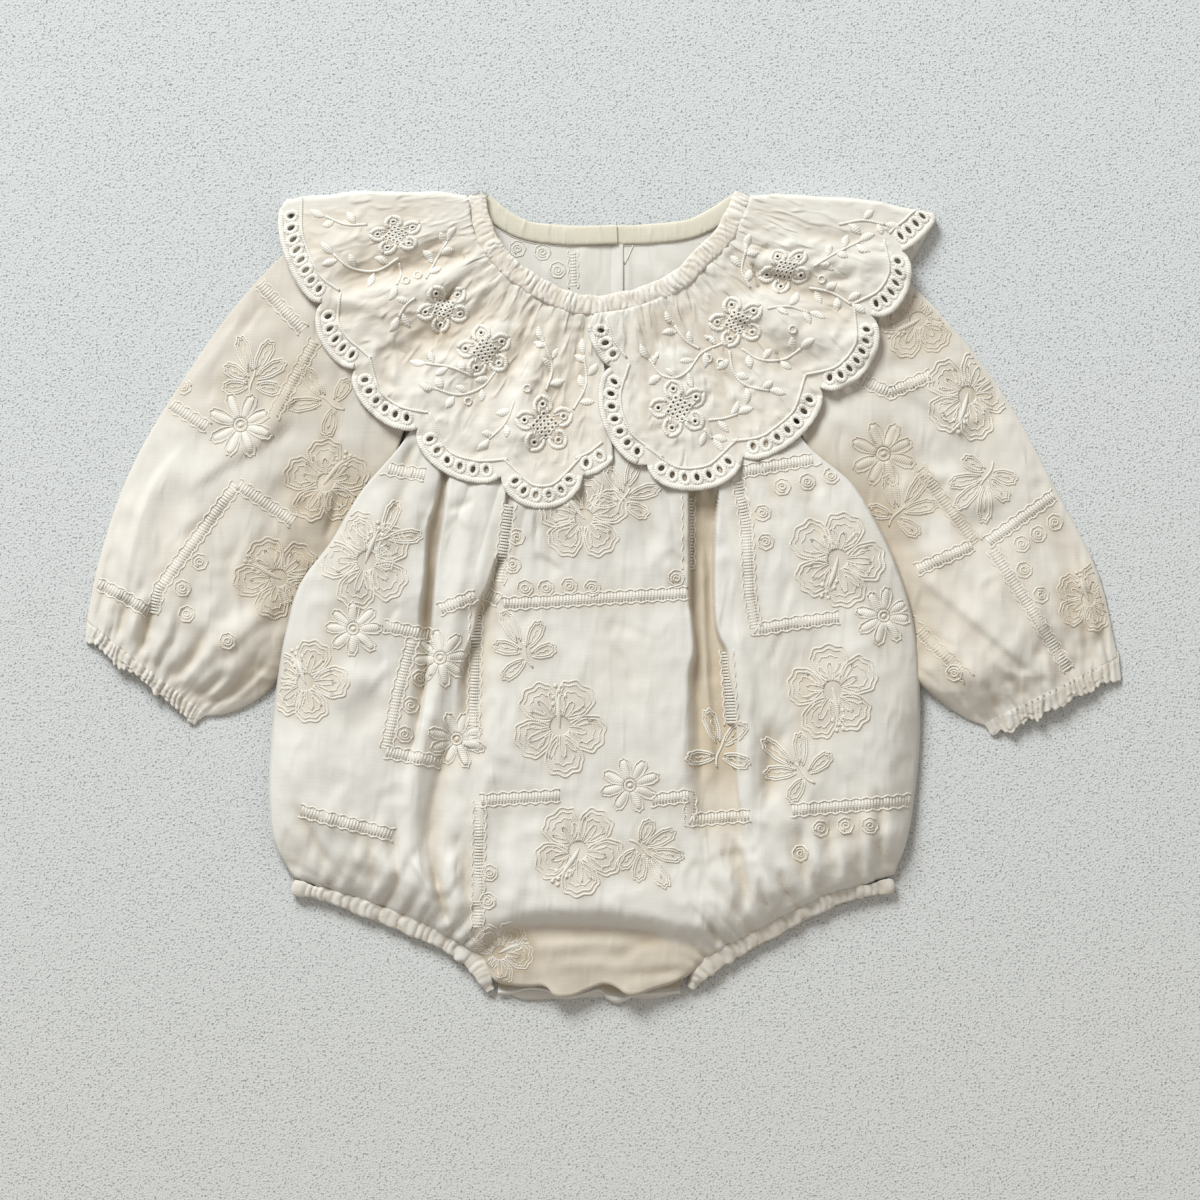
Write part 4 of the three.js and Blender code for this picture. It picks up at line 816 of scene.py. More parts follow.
def makeSleeve(side):
    # a closed ring of points for each step down the sleeve: the upper layer, then the lower one back
    table = sleeves[side]
    t = np.linspace(0, 1, sleeves["rows"])
    outer, inner = curveThrough(table["outer"], t), curveThrough(table["inner"], t)
    upper = (1 - np.cos(np.linspace(0, math.pi, sleeves["upper"]))) / 2
    lower = (1 + np.cos(np.linspace(0, math.pi, sleeves["lower"])[1:-1])) / 2
    s = np.r_[upper, lower]
    plan = mix(inner[:, None], outer[:, None], s[None, :, None])
    x, y = plan[..., 0].ravel(), plan[..., 1].ravel()
    z, fold = sleeveLevel(table, x, y)
    isLower = np.tile(np.arange(len(s)) >= sleeves["upper"], len(t))
    z = np.where(isLower, liftOverCollar(x, y) + floorGap, z)
    quads = gridQuads(len(t), len(s), closeRows=True)
    quads = quads[:, ::-1] if side == "left" else quads
    piece = putMesh("sleeve" + side.capitalize(), np.stack([x, y, z], -1), quads)
    # painted shade on the upper layer: near the front's edge and under the collar, over the sleeve by its
    # shade in soft patches, more towards the shoulder, and in the valleys; the shoulder's share also adds a
    # painted grey shade
    shadeNearFront = np.maximum(fade(distanceTo(frontEdges[side], x, y), 9), 1.2 * underCollar(side, x, y))
    shoulder = table["shoulder"] * ease((y - 50) / 50)
    sleeveShade = table["shade"] * (1 + 0.5 * cloud(x, y, 40, 9)) + shoulder
    addFloats(piece, "fold", np.where(isLower, 0, np.clip(fold / 7 + sleeveShade + 0.5 * shadeNearFront, 0, 0.8)))
    addFloats(piece, "paintedGreyShade", 0.3 * shoulder)
    giveWall(piece, sleeves["wall"])
    settle(piece, bodyCotton, "embroidered_cotton", "sleeve_" + side)
    return piece


sleeves["left"]["creases"] += smallCreases(511, 44, (-225, -30), (-120, 150), -1.9)
sleeves["right"]["creases"] += smallCreases(512, 44, (120, -35), (230, 150), -1.2)
sleeveParts = {side: makeSleeve(side) for side in bothSides}


def makeCuff(side):
    # a short flattened ring that starts inside the sleeve's end, ridged by its elastic and frilled below
    table = sleeves[side]
    t = np.linspace(-0.6, 1, sleeves["cuffRows"])[:, None]
    outer, inner = [mix(*np.array(table[key], float)[:, None], t) for key in ("cuffOuter", "cuffInner")]
    upper = (1 - np.cos(np.linspace(0, math.pi, sleeves["cuffUpper"]))) / 2
    lower = (1 + np.cos(np.linspace(0, math.pi, sleeves["cuffLower"])[1:-1])) / 2
    share = np.r_[upper, lower][None, :]
    isUpper = (np.arange(share.size) < len(upper))[None, :]
    plan = mix(inner[:, None], outer[:, None], share[..., None])
    ridges = cuffRidges(table, plan[..., 0], plan[..., 1])
    down = (outer[-1] - outer[0]) / np.linalg.norm(outer[-1] - outer[0])
    lumps = cloud(share * 66 + 0 * t, 9 * t + 0 * share, 1.5, table["seed"] + 9)
    wave = 1.9 * cloud(share * 66, 0 * share, 4.6, table["seed"] + 6) + 0.7 * ridges + 0.9 * lumps
    plan = plan + down * (wave * ease(t))[..., None]
    swell = sleeves["cuffCrown"] * (1 - 0.26 * np.clip(t, 0, 1)) * np.sin(math.pi * share) ** 0.7
    ends = ease(np.minimum(share, 1 - share) * 70 / 6)
    own = sleeves["base"] + swell + (ridges + 0.3 * lumps * ease(t)) * ends
    onSleeve = sleeveLevel(table, plan[..., 0].ravel(), plan[..., 1].ravel())[0].reshape(own.shape)
    over = mix(onSleeve, own, ease((t + 0.2) / 0.3)) + 0.12 - 0.5 * ease((-t - 0.1) / 0.5)
    z = np.where(isUpper, over, floorGap + 0.3 * ease(t) * ends)
    z = np.clip(np.maximum(z, floorGap + 0.55 * ease(t / 0.4)), floorGap, sleeves["cuffTop"])
    x, y = plan[..., 0].ravel(), plan[..., 1].ravel()
    quads = gridQuads(len(t), share.size, closeRows=True)
    quads = quads[:, ::-1] if side == "left" else quads
    piece = putMesh("cuff" + side.capitalize(), np.stack([x, y, z.ravel()], -1), quads)
    # painted shade on the cuff's upper layer, less on its raised ridges
    addFloats(piece, "fold", (np.clip(table["shade"] - ridges * 0.3, 0, 0.8) * isUpper + 0 * t).ravel())
    giveWall(piece, sleeves["cuffWall"])
    settle(piece, bodyCotton, "embroidered_cotton", "cuff_" + side)


for side in bothSides:
    makeCuff(side)
print("sleeves and cuffs made")


def bandPiece(name, path, across, facing, band, high=0.0, out=0.0, narrow=1.0):
    # a flat tube: a super-ellipse section, width by depth, carried along the path and walled inwards.
    # high lifts its upper face, station by station and side by side, and out shifts its two edges outwards
    angle = np.linspace(0, 2 * math.pi, band["sides"], endpoint=False)
    wide = np.sign(np.cos(angle)) * np.abs(np.cos(angle)) ** 0.7
    tall = np.sign(np.sin(angle)) * np.abs(np.sin(angle)) ** 0.8
    high = np.broadcast_to(high, (len(path), len(angle)))
    out = np.broadcast_to(out, len(path))
    narrow = np.broadcast_to(narrow, len(path))[:, None]
    sideways = band["width"] / 2 * wide * narrow + out[:, None] * wide
    upwards = band["depth"] / 2 * tall + high * np.clip(tall, 0, 1)
    points = path[:, None] + sideways[..., None] * across[:, None] + upwards[..., None] * facing[:, None]
    rows, sides = points.shape[:2]
    quads = gridQuads(rows, sides, closeRows=True)
    first = np.arange(sides)[None, :]
    ends = [first, (first + (rows - 1) * sides)[:, ::-1]]
    turned = np.cross(path[1] - path[0], across[0]) @ facing[0] < 0
    quads, ends = (quads[:, ::-1], ends) if turned else (quads, [e[:, ::-1] for e in ends])
    piece = putMesh(name, points.reshape(-1, 3), quads, ends)
    # painted shade in the valleys of its upper face, between the raised puckers
    addFloats(piece, "fold", np.clip(0.3 - 0.45 * high, 0, 0.5) * (tall > 0) * np.any(high != 0))
    return giveWall(piece, band["wall"])


def puckers(run, band, seed):
    # ridges across a gathered band that lean, split and fade unevenly: stations down, sides across
    angle = np.linspace(0, 2 * math.pi, band["sides"], endpoint=False)[None, :]
    v = np.cos(angle) * band["width"] / 2
    along = run[:, None] + 1.9 * cloud(run[:, None] + 0 * v, 1.6 * v, 5.5, seed + 5)
    strong = gathers(along, band["pitch"], seed) * (0.7 + 0.4 * cloud(run[:, None], v, 3.4, seed + 6))
    return band["pucker"] * (strong - 0.3) + 0.3 * cloud(run[:, None], v, 1.5, seed + 7)


def flatFrames(path):
    # the way each station's width runs, in the plane, and straight up
    along = np.gradient(path, axis=0)
    across = unit(np.stack([-along[:, 1], along[:, 0], 0 * along[:, 0]], -1))
    return across, unit(np.cross(along, across))


neckCasing = dict(
    path=[(-60.6, 190.5, 5.9), (-58.6, 179, 8.6), (-52.8, 165, 10), (-44.2, 155.6, 10.2),
          (-33.4, 147.6, 10.2), (-18.6, 140.4, 10.2), (-4, 137.2, 10.2), (10, 139.2, 10.2),
          (24, 143.4, 10.2), (35.4, 149.6, 10.2), (45.2, 158.2, 10.2), (56, 169.6, 10), (62.6, 180, 8.6),
          (67.6, 190.5, 5.9)],
    width=8.6, depth=1.8, wall=0.5, sides=22, pitch=2.7, pucker=1.8)
neckBands = dict(
    left=[(-57.5, 187.6, 3.2), (-49, 180.2, 3.2), (-37.5, 174, 3.2), (-18, 171.4, 3.3), (-3, 171.4, 4.0),
          (6.9, 171.7, 4.3)],
    right=[(64.6, 187.6, 3.2), (54.6, 180.6, 3.2), (42, 174.6, 3.2), (22, 172, 3.2), (1.6, 171.4, 3.1)],
    width=8.6, depth=1.05, wall=0.35, sides=16)


def makeNeckCasing():
    path = evenCurve(neckCasing["path"], 0.5)
    run = np.arange(len(path)) * 0.5
    across, facing = flatFrames(path)
    path = path + across * (cloud(run, run * 0, 5.5, 43) * 0.5)[:, None]
    high = puckers(run, neckCasing, 41)
    piece = bandPiece("neckCasing", path, across, facing, neckCasing, high, 0.35 * high.mean(1))
    settle(piece, casingCotton, "eyelet_cotton", "neck_casing")


def makeNeckBand(side):
    path = evenCurve(neckBands[side], 1.0)
    run = np.arange(len(path)) * 1.0
    across, facing = flatFrames(path)
    soft = 0.14 * cloud(run, run * 0, 9, 44)
    piece = bandPiece("neckBand" + side.capitalize(), path, across, facing, neckBands, soft[:, None], soft)
    settle(piece, bindingCotton, "neck_binding", "neck_band_" + side)


def makeLegCasing(side):
    # front layer from the crotch to the side, a turn there, and the back layer under it
    top = evenCurve(legCasings[side], 0.5)
    share = np.linspace(0, 1, len(top))
    raised = mix(legCasings["crotchLevel"], legCasings["frontLevel"], ease(share / 0.3))
    raised = raised - legCasings["dip"] * (1 - ease(share / 0.09))
    along = top[-1] - top[-2]
    along = along / np.linalg.norm(along)
    turn = np.linspace(0, math.pi, 9)[1:-1]
    low = legCasings["backLevel"]
    bent = top[-1] + along * np.sin(turn)[:, None] * legCasings["bend"]
    bend = np.c_[bent, (raised[-1] + low) / 2 + (raised[-1] - low) / 2 * np.cos(turn)]
    under = top[::-2]
    path = np.vstack([np.c_[top, raised], bend, np.c_[under, np.full(len(under), low)]])
    across, _ = flatFrames(np.c_[top, raised])
    outward = 1 if side == "left" else -1
    across[:, 2] = -outward * legCasings["slope"] * ease(share / 0.15)
    across = unit(across)
    flat = across[::-2] * (1, 1, 0)
    swing = np.linspace(1, 0, len(turn))[:, None] * (0, 0, 1) + (1, 1, 0)
    across = np.vstack([across, across[-1:] * swing, flat])
    facing = unit(np.cross(np.gradient(path, axis=0), across))
    facing *= np.sign(facing[0, 2])
    run = np.arange(len(path)) * 0.5
    shown = np.where(np.arange(len(path)) < len(top) + len(turn), 1.0, 0.08)
    angle = np.linspace(0, 2 * math.pi, legCasings["sides"], endpoint=False)
    spots = path[:, None] + across[:, None] * (legCasings["width"] / 2 * np.cos(angle))[None, :, None]
    ridges = legRidges(spots[..., 0], spots[..., 1]) + 0.25 * cloud(spots[..., 0], spots[..., 1], 1.6, 47)
    high = (0.62 * ridges + 0.1) * shown[:, None]
    out = (0.5 * high.mean(1) + 0.8 * cloud(run, run * 0, 3.4, 49)) * shown
    toSide = np.r_[share, np.ones(len(turn)), share[::-2]]
    narrow = mix(1.0, 0.68, ease((toSide - 0.6) / 0.4)) * mix(0.5, 1, ease(toSide / 0.09))
    piece = bandPiece("legCasing" + side.capitalize(), path, across, facing, legCasings, high, out, narrow)
    settle(piece, bodyCotton, "embroidered_cotton", "leg_casing_" + side)


makeNeckCasing()
for side in bothSides:
    makeNeckBand(side)
for side in bothSides:
    makeLegCasing(side)
print("casings and bands made")


# the collars are cut flat as one sheet with their eyelets, then folded over at the shoulder
def foldTop(side, x):
    # height of the fold at the shoulder, from the neck to the collar's corner
    table = collars[side]
    neckX, cornerX = table["neckFront"][-1][0], table["front"][-1][0]
    along = np.clip((x - neckX) / (cornerX - neckX), 0, 1)
    return mix(collars["foldNeck"], collars["foldCorner"], ease((along - 0.45) / 0.55))


def foldY(side, x):
    # the line of the fold: bowed out a little between the neck and the corner
    (neckX, neckY), (cornerX, cornerY) = collars[side]["neckFront"][-1], collars[side]["front"][-1][:2]
    along = np.clip((x - neckX) / (cornerX - neckX), -1, 1.2)
    bow = 3.2 * np.sin(math.pi * np.clip(along, 0, 1)) + 0.9 * cloud(x, 0 * x, 13, 77)
    return mix(neckY, cornerY, along) + bow * ease(along / 0.15) * ease((1 - along) / 0.1)


def laidFlat(side, points, under=False):
    # places on the folded collar, put where they lie when the sheet is opened out about the fold
    points = np.asarray(points, float)
    x, y = points[:, 0], points[:, 1]
    away = foldY(side, x) - y + math.pi * foldTop(side, x) / 4
    return np.stack([x, away if under else -away], -1)


def neckCreases(side):
    # crisp grooves that run out from the neck seam, steep on one side, of uneven length and depth
    rng = np.random.default_rng(collars[side]["seed"] + 9)
    starts = curveThrough(collars[side]["neckFront"], np.sort(rng.uniform(0.03, 0.97, collars["grooves"])))
    rows = []
    for start in starts:
        away = start - (4, 196)
        away = away / np.linalg.norm(away)
        bent = turned(away[None], rng.uniform(-0.25, 0.25))[0]
        long = rng.uniform(16, 54)
        left, right, height = rng.uniform(0.8, 1.6), rng.uniform(1.6, 4.0), -rng.uniform(0.5, 1.5)
        line = np.r_[start + 2 * away, start + long * 0.5 * away, start + long * bent]
        rows.append([*line, left, right, height])
    return rows


collars["left"]["small"] = smallCreases(521, 80, (-140, 66), (-14, 176), 2.9, 1.05)
collars["right"]["small"] = smallCreases(522, 80, (14, 66), (140, 176), 0.5, 1.05)


def collarLevel(side, x, y):
    # the front's crest and a clearance, the waves of the collar's fullness, gathers at the neck and creasing
    table = collars[side]
    overlap = table["overlap"] * (1 - ease((x - 16) / 26))
    neck = curveThrough(table["neckFront"], np.linspace(0, 1, 24))
    dNeck = distanceTo(neck, x, y)
    fanX, fanY = collars["fanFrom"]
    turn = np.arctan2(x - fanX, fanY - y) * 62
    seed = table["seed"]
    pleats = (gathers(turn + 0.6 * cloud(x, y, 9, seed), 5.4, seed) - 0.4) * 2.6
    pleats = pleats * fade(dNeck, 10) * ease(dNeck / 3 + 0.2)
    long = ridgeRow(turn, collars["neckGathers"], seed + 1) * bell((dNeck - 24) / 26)
    fine = 1.15 * (crumple(x, y, 21, seed + 2) - 0.65) + 0.65 * (crumple(x, y, 9.5, seed + 3) - 0.65)
    fine = fine + 0.22 * cloud(x, y, 3.4, seed + 4)
    waves = creaseHeight(table["waves"] + neckCreases(side) + table["small"], x, y)
    raised = pleats + long + fine * ease(dNeck / 12) + 1.2 * waves
    clear = mix(1.2, collars["clearance"], ease(dNeck / 9))
    level = softTable(front["crest"], y) + clear + overlap + raised
    leftX, rightX = sidesAt(y)
    inside = (x > leftX) & (x < rightX)
    below = frontRelief(x, y) + collars["least"] + overlap
    return np.where(inside, np.maximum(level, below), level), raised


def collarSurface(side, x, w):
    # w under -q is the front, over q is the back, and between them the cloth turns round the fold
    top = foldTop(side, x)
    q = math.pi * top / 4
    turnAngle = np.clip(w / q, -1, 1) * math.pi / 2
    onFront, onBack = w < -q, w > q
    fromFold = np.where(onFront, -w - q, np.where(onBack, w - q, 0))
    y = foldY(side, x) - fromFold + collars["out"] * np.cos(turnAngle)
    level, raised = collarLevel(side, x, y)
    frontZ = mix(top - 0.1, level, ease(fromFold / 30))
    aroundZ = mix(top - 0.1, collars["backLevel"], (1 + np.sin(turnAngle)) / 2)
    z = np.where(onFront, frontZ, np.where(onBack, collars["backLevel"], aroundZ))
    puffs = 0.35 * cloud(x, w, 9, 79) * (1 - np.abs(np.sin(turnAngle)))
    return np.stack([x, y, np.maximum(z + puffs, collars["backLevel"])], -1)


def collarPlan(side):
    # the opened-out outline, the eyelets inside each scallop, and the lines of the inner and border cords
    table, turn = collars[side], collars[side]["turn"]
    frontArcs = [laidFlat(side, a) for a in scallops(table["front"], turn, 1.7)]
    backArcs = [laidFlat(side, a, under=True) for a in scallops(table["back"], -turn, 2.6)]
    neckFront = laidFlat(side, evenCurve(table["neckFront"], 2.0))
    neckBack = laidFlat(side, evenCurve(table["neckBack"], 3.0), under=True)
    edge = np.vstack([a[:-1] for a in frontArcs + backArcs])
    outline = np.vstack([edge, backArcs[-1][-1:], neckBack[::-1][:-1], neckFront[::-1][1:]])
    eyelets, cords, borders = [], [], []
    for arc in frontArcs + backArcs:
        if lengthOf(arc) < 16:
            continue
        fine = curveThrough(np.vstack([arc[:-1:2], arc[-1:]]), np.linspace(0, 1, 80))
        inward = leftOf(np.gradient(fine, axis=0)) * turn
        row = fine + inward * collars["eyeletIn"]
        run = runOf(row)
        count = max(2, int(round(run[-1] / collars["eyeletPitch"])))
        at = (np.arange(count) + 0.5) / count * run[-1]
        lean = readAt(at, run, inward)
        eyelets += [(p, math.atan2(d[1], d[0])) for p, d in zip(readAt(at, run, row), lean)]
        inner = fine + inward * collars["innerCord"]
        chord = (fine[-1] - fine[0]) / np.linalg.norm(fine[-1] - fine[0])
        into = np.array([-chord[1], chord[0]]) * turn * 8.5
        line = np.vstack([fine[0] + into + chord, inner[18:-18:9], fine[-1] + into - chord])
        cords.append(evenCurve(line, 1.4))
        borders.append(evenCurve((fine + inward * collars["border"])[1:-1:6], 1.5))
    return outline, eyelets, cords, borders


def ellipse(centre, long, wide, angle, count):
    t = np.linspace(0, 2 * math.pi, count, endpoint=False)
    u, v = long * np.cos(t), wide * np.sin(t)
    c, s = math.cos(angle), math.sin(angle)
    return np.stack([centre[0] + u * c - v * s, centre[1] + u * s + v * c], -1)


def makeCollar(side, outline, eyelets, holes):
    # points on a jittered six-sided net, triangulated with the outline and the holes as fixed edges
    rng = np.random.default_rng(81)
    low, high = outline.min(0), outline.max(0)

    def net(spacing, top, bottom):
        gx, gy = np.meshgrid(np.arange(low[0], high[0], spacing), np.arange(bottom, top, spacing * 0.866))
        gx = gx + (np.arange(gx.shape[0]) % 2)[:, None] * spacing / 2
        return np.stack([gx.ravel(), gy.ravel()], -1) + rng.uniform(-0.12, 0.12, (gx.size, 2)) * spacing

    points = np.vstack([net(collars["spacing"], 9, low[1]), net(3.4, high[1], 9)])
    points = points[insideOutline(points, outline)]
    points = points[distanceTo(np.vstack([outline, outline[:1]]), points[:, 0], points[:, 1]) > 0.7]
    rings = [ellipse(p, collars["eyeletLong"], collars["eyeletWide"], a, 12) for p, a in eyelets]
    rings += [ellipse(p, r, r, 0, 7) for p, r in holes]
    for p, a in eyelets:
        points = points[np.hypot(*(points - p).T) > collars["eyeletLong"] + 0.5]
    for p, r in holes:
        points = points[np.hypot(*(points - p).T) > r + 0.35]
    loops, total, edges = [outline] + rings, 0, []
    for loop in loops:
        n = np.arange(len(loop))
        edges += list(zip((n + total).tolist(), (np.roll(n, -1) + total).tolist()))
        total += len(loop)
    everything = np.vstack(loops + [points])
    solved = delaunay_2d_cdt([Vector(p) for p in everything.tolist()], edges, [], 0, 1e-5, False)
    flat, faces = np.array([tuple(v) for v in solved[0]]), np.array([f for f in solved[2] if len(f) == 3])
    centre = flat[faces].mean(1)
    keep = insideOutline(centre, outline)
    for ring in rings:
        middle, reach = ring.mean(0), np.hypot(*(ring - ring.mean(0)).T).max()
        close = np.flatnonzero(keep & (np.hypot(*(centre - middle).T) < reach))
        keep[close[insideOutline(centre[close], ring)]] = False
    faces = faces[keep]
    solid = collarSurface(side, flat[:, 0], flat[:, 1])
    a, b, c = [solid[faces[:, k]] for k in range(3)]
    front = flat[faces].mean(1)[:, 1] < -12
    if (np.cross(b - a, c - a)[front, 2]).sum() < 0:
        faces = faces[:, ::-1]
    awayX, awayY = solid[:, 0] - collars["fanFrom"][0], solid[:, 1] - collars["fanFrom"][1]
    fan = np.stack([np.arctan2(awayX, -awayY) * 0.08, np.hypot(awayX, awayY) * mm], -1)
    piece = putMesh("collar" + side.capitalize(), solid, faces, uv=fan, uvName="radial")
    # painted shade on the front part: each half's base amount, less where its cloth stands high, and its
    # ovals of shade
    raised = collarLevel(side, solid[:, 0], solid[:, 1])[1]
    shown = ease((-flat[:, 1] - 4) / 10)
    shadeTint = np.clip(collars[side]["shadeAmount"] - raised / 3.2, 0, 1) * 0.45
    for x, y, long, wide, angle, amount in collars[side]["shades"]:
        u, v = turned(solid[:, :2] - (x, y), -angle).T
        shadeTint = shadeTint + amount * 0.6 * np.exp(-(u / long) ** 2 - (v / wide) ** 2)
    addFloats(piece, "fold", np.clip(shadeTint, 0, 0.7) * shown)
    giveWall(piece, collars["wall"])
    settle(piece, collarCotton, "eyelet_cotton", "collar_" + side)
    return piece


# embroidery: cords carried along their lines on a piece's own surface
cordSection = np.array([(-1, -0.35), (-0.68, 0.62), (0, 1.0), (0.68, 0.62), (1, -0.35)])


def sewCords(name, surface, strands, slot, material):
    # a small rounded section, half wide by high, set across each line and up along the cloth's normal
    starts = np.cumsum([0] + [len(s[0]) for s in strands])
    flat = np.vstack([s[0] for s in strands])
    half = np.concatenate([np.broadcast_to(np.asarray(s[1], float), len(s[0])) for s in strands])
    high = np.concatenate([np.broadcast_to(np.asarray(s[2], float), len(s[0])) for s in strands])
    tangent, run, quads, ends = np.zeros_like(flat), np.zeros(len(flat)), [], []
    sides = len(cordSection)
    for start, (points, _, _, closed) in zip(starts, strands):
        n = len(points)
        step = np.roll(points, -1, 0) - np.roll(points, 1, 0) if closed else np.gradient(points, axis=0)
        tangent[start:start + n] = step
        run[start:start + n] = runOf(points)
        i = np.arange(n if closed else n - 1)[:, None]
        j = np.arange(sides)[None, :]
        a, d = (start + i) * sides, (start + (i + 1) % n) * sides
        quads.append(np.stack([a + j, d + j, d + (j + 1) % sides, a + (j + 1) % sides], -1).reshape(-1, 4))
        if not closed:
            ends += [start * sides + np.arange(sides), (start + n - 1) * sides + np.arange(sides)[::-1]]
    e = 0.35
    here = surface(flat[:, 0], flat[:, 1])
    alongX = (surface(flat[:, 0] + e, flat[:, 1]) - here) / e
    alongY = (surface(flat[:, 0], flat[:, 1] + e) - here) / e
    normal = unit(np.cross(alongX, alongY))
    way = tangent[:, :1] * alongX + tangent[:, 1:] * alongY
    way /= np.linalg.norm(way, axis=1)[:, None] + 1e-9
    across = np.cross(normal, way)
    points = (here[:, None] + across[:, None] * (half[:, None] * cordSection[:, 0])[..., None]
              + normal[:, None] * (high[:, None] * cordSection[:, 1])[..., None])
    uv = np.stack([np.repeat(run, sides), (half[:, None] * cordSection[:, 0]).ravel()], -1)
    piece = putMesh(name, points.reshape(-1, 3), np.vstack(quads), [np.array(ends)] if ends else (), uv=uv)
    settle(piece, material, slot)


def placed(strands, x, y, angle=0.0, size=1.0, narrow=1.0):
    # a motif moved to its place: narrowed across, sized, turned and shifted
    shape = np.array([1, narrow])
    return [(turned(p * size * shape, angle) + (x, y), *rest) for p, *rest in strands]


def thicker(strands, wide, tall):
    # the same cords with their half width and height changed by these shares
    return [(p, wide * np.asarray(half), tall * np.asarray(high), shut) for p, half, high, shut in strands]


def spindle(start, end, wide, high, bend=0.0, steps=9):
    # a padded satin leaf: its width is a half-sine between its two points, on a slightly bent line
    t = np.linspace(0, 1, steps)
    a, b = np.asarray(start, float), np.asarray(end, float)
    out = np.array([-(b - a)[1], (b - a)[0]])
    points = a + (b - a) * t[:, None] + out * (bend * np.sin(math.pi * t))[:, None]
    half = np.maximum(wide * np.sin(math.pi * t) ** 0.8, 0.12)
    return (points, half, high * (0.35 + 0.65 * np.sin(math.pi * t)), False)


def trimmed(strands, outline, margin=1.3, outside=False):
    # the stretches of each cord that lie inside an outline (or outside it), a margin away from its edge
    flat = np.vstack([s[0] for s in strands])
    within = insideOutline(flat, outline) != outside
    within &= distanceTo(np.vstack([outline, outline[:1]]), flat[:, 0], flat[:, 1]) > margin
    kept, start = [], 0
    for points, half, high, closed in strands:
        ok = within[start:start + len(points)]
        start += len(points)
        if ok.all():
            kept.append((points, half, high, closed))
            continue
        half, high = np.broadcast_to(half, len(points)), np.broadcast_to(high, len(points))
        for run in np.split(np.arange(len(points)), np.flatnonzero(np.diff(ok.astype(int))) + 1):
            if ok[run[0]] and len(run) > 2:
                kept.append((points[run], half[run], high[run], False))
    return kept


def shadeNearCords(piece, strands, share):
    # painted shade on the cloth between and round the cords: their points, counted on a lattice and spread,
    # added by the vertex
    flat = np.vstack([s[0] for s in strands])
    low, cell = flat.min(0) - 8, 1.5
    size = ((flat.max(0) + 8 - low) / cell).astype(int) + 2
    count = np.zeros(size)
    np.add.at(count, tuple(((flat - low) / cell).astype(int).T), 1.0)
    count = np.minimum(count, 1.5)
    for _ in range(2):
        count = (count + np.roll(count, 1, 0) + np.roll(count, -1, 0)) / 3
        count = (count + np.roll(count, 1, 1) + np.roll(count, -1, 1)) / 3
    places = np.zeros(len(piece.data.vertices) * 3, np.float32)
    piece.data.vertices.foreach_get("co", places)
    at = (places.reshape(-1, 3)[:, :2] / mm - low) / cell
    i = np.clip(np.floor(at).astype(int), 0, size - 2)
    t = np.clip(at - i, 0, 1)
    near = mix(mix(count[i[:, 0], i[:, 1]], count[i[:, 0] + 1, i[:, 1]], t[:, 0]),
               mix(count[i[:, 0], i[:, 1] + 1], count[i[:, 0] + 1, i[:, 1] + 1], t[:, 0]), t[:, 1])
    layer = piece.data.attributes["fold"].data
    fold = np.zeros(len(places) // 3, np.float32)
    layer.foreach_get("value", fold)
    layer.foreach_set("value", np.clip(fold + share * near, 0, 1).astype(np.float32))


def knot(x, y, r):
    # a short cord, blunt at its two ends
    t = np.array([-1, -0.45, 0.45, 1])
    line = np.stack([x + r * t, y + 0 * t], -1)
    return (line, r * np.array([0.45, 1, 1, 0.45]), 0.9 * np.array([0.5, 1, 1, 0.5]), False)


def ringCord(x, y, r, half, high, steps):
    return (ellipse((x, y), r, r, 0, steps), half, high, True)


def petalLine(inner, outer, wide, steps, ripple, phase, opening=0.32):
    # a broad petal: an egg-shaped loop that narrows to its base, open there, and rippled all round
    t = np.linspace(-math.pi + opening, math.pi - opening, steps)
    narrower = 1 - 0.48 * ((1 - np.cos(t)) / 2) ** 1.4
    push = 1 + ripple * np.sin(8.5 * t + phase)
    u = (inner + outer) / 2 + (outer - inner) / 2 * np.sign(np.cos(t)) * np.abs(np.cos(t)) ** 0.85
    v = wide * np.sin(t) * narrower
    return np.stack([inner + (u - inner) * push, v * push], -1)


# cords of a petal: (base, how much shorter and slimmer, points, ripple, its shift, half width, height)
hibiscusShape = dict(
    petalCords=[(4.2, 0, 0, 42, 0.035, 0, 0.55, 0.62), (5.8, 2.1, 1.9, 36, 0.04, 0, 0.46, 0.52),
                (8.0, 5.2, 4.6, 24, 0.06, 1, 0.42, 0.46)],
    veins=(-0.44, 0.0, 0.42),
    knots=[(16.4, 0), (13.4, 2.8), (14, -2.9), (10.2, 3.0), (18.9, 1.6), (19, -1.7)])


def hibiscus(seed):
    # five broad petals in a double rippled cord, with looped veins, and a padded stamen with knots at its tip
    rng = np.random.default_rng(seed)
    cords = []
    for k in range(5):
        angle = 2 * math.pi * k / 5 + 0.63 + rng.uniform(-0.1, 0.1)
        reach, wide, phase = rng.uniform(21.5, 24), rng.uniform(9.9, 11.2), rng.uniform(0, 6)
        for base, shorter, slimmer, steps, ripple, shift, half, high in hibiscusShape["petalCords"]:
            line = petalLine(base, reach - shorter, wide - slimmer, steps, ripple, phase + shift)
            cords.append((turned(line, angle), half, high, False))
        for fan in hibiscusShape["veins"]:
            long = rng.uniform(12.5, 16.5)
            loop = petalLine(4.0, long, 1.7, 17, 0.08, rng.uniform(0, 6), 0.5)
            cords.append((turned(loop, angle + fan), 0.42, 0.48, False))
    cords.append(spindle((-1.5, 0), (15.5, 0), 1.45, 1.15, 0.03, 10))
    return cords + [knot(u, v, 1.05) for u, v in hibiscusShape["knots"]]


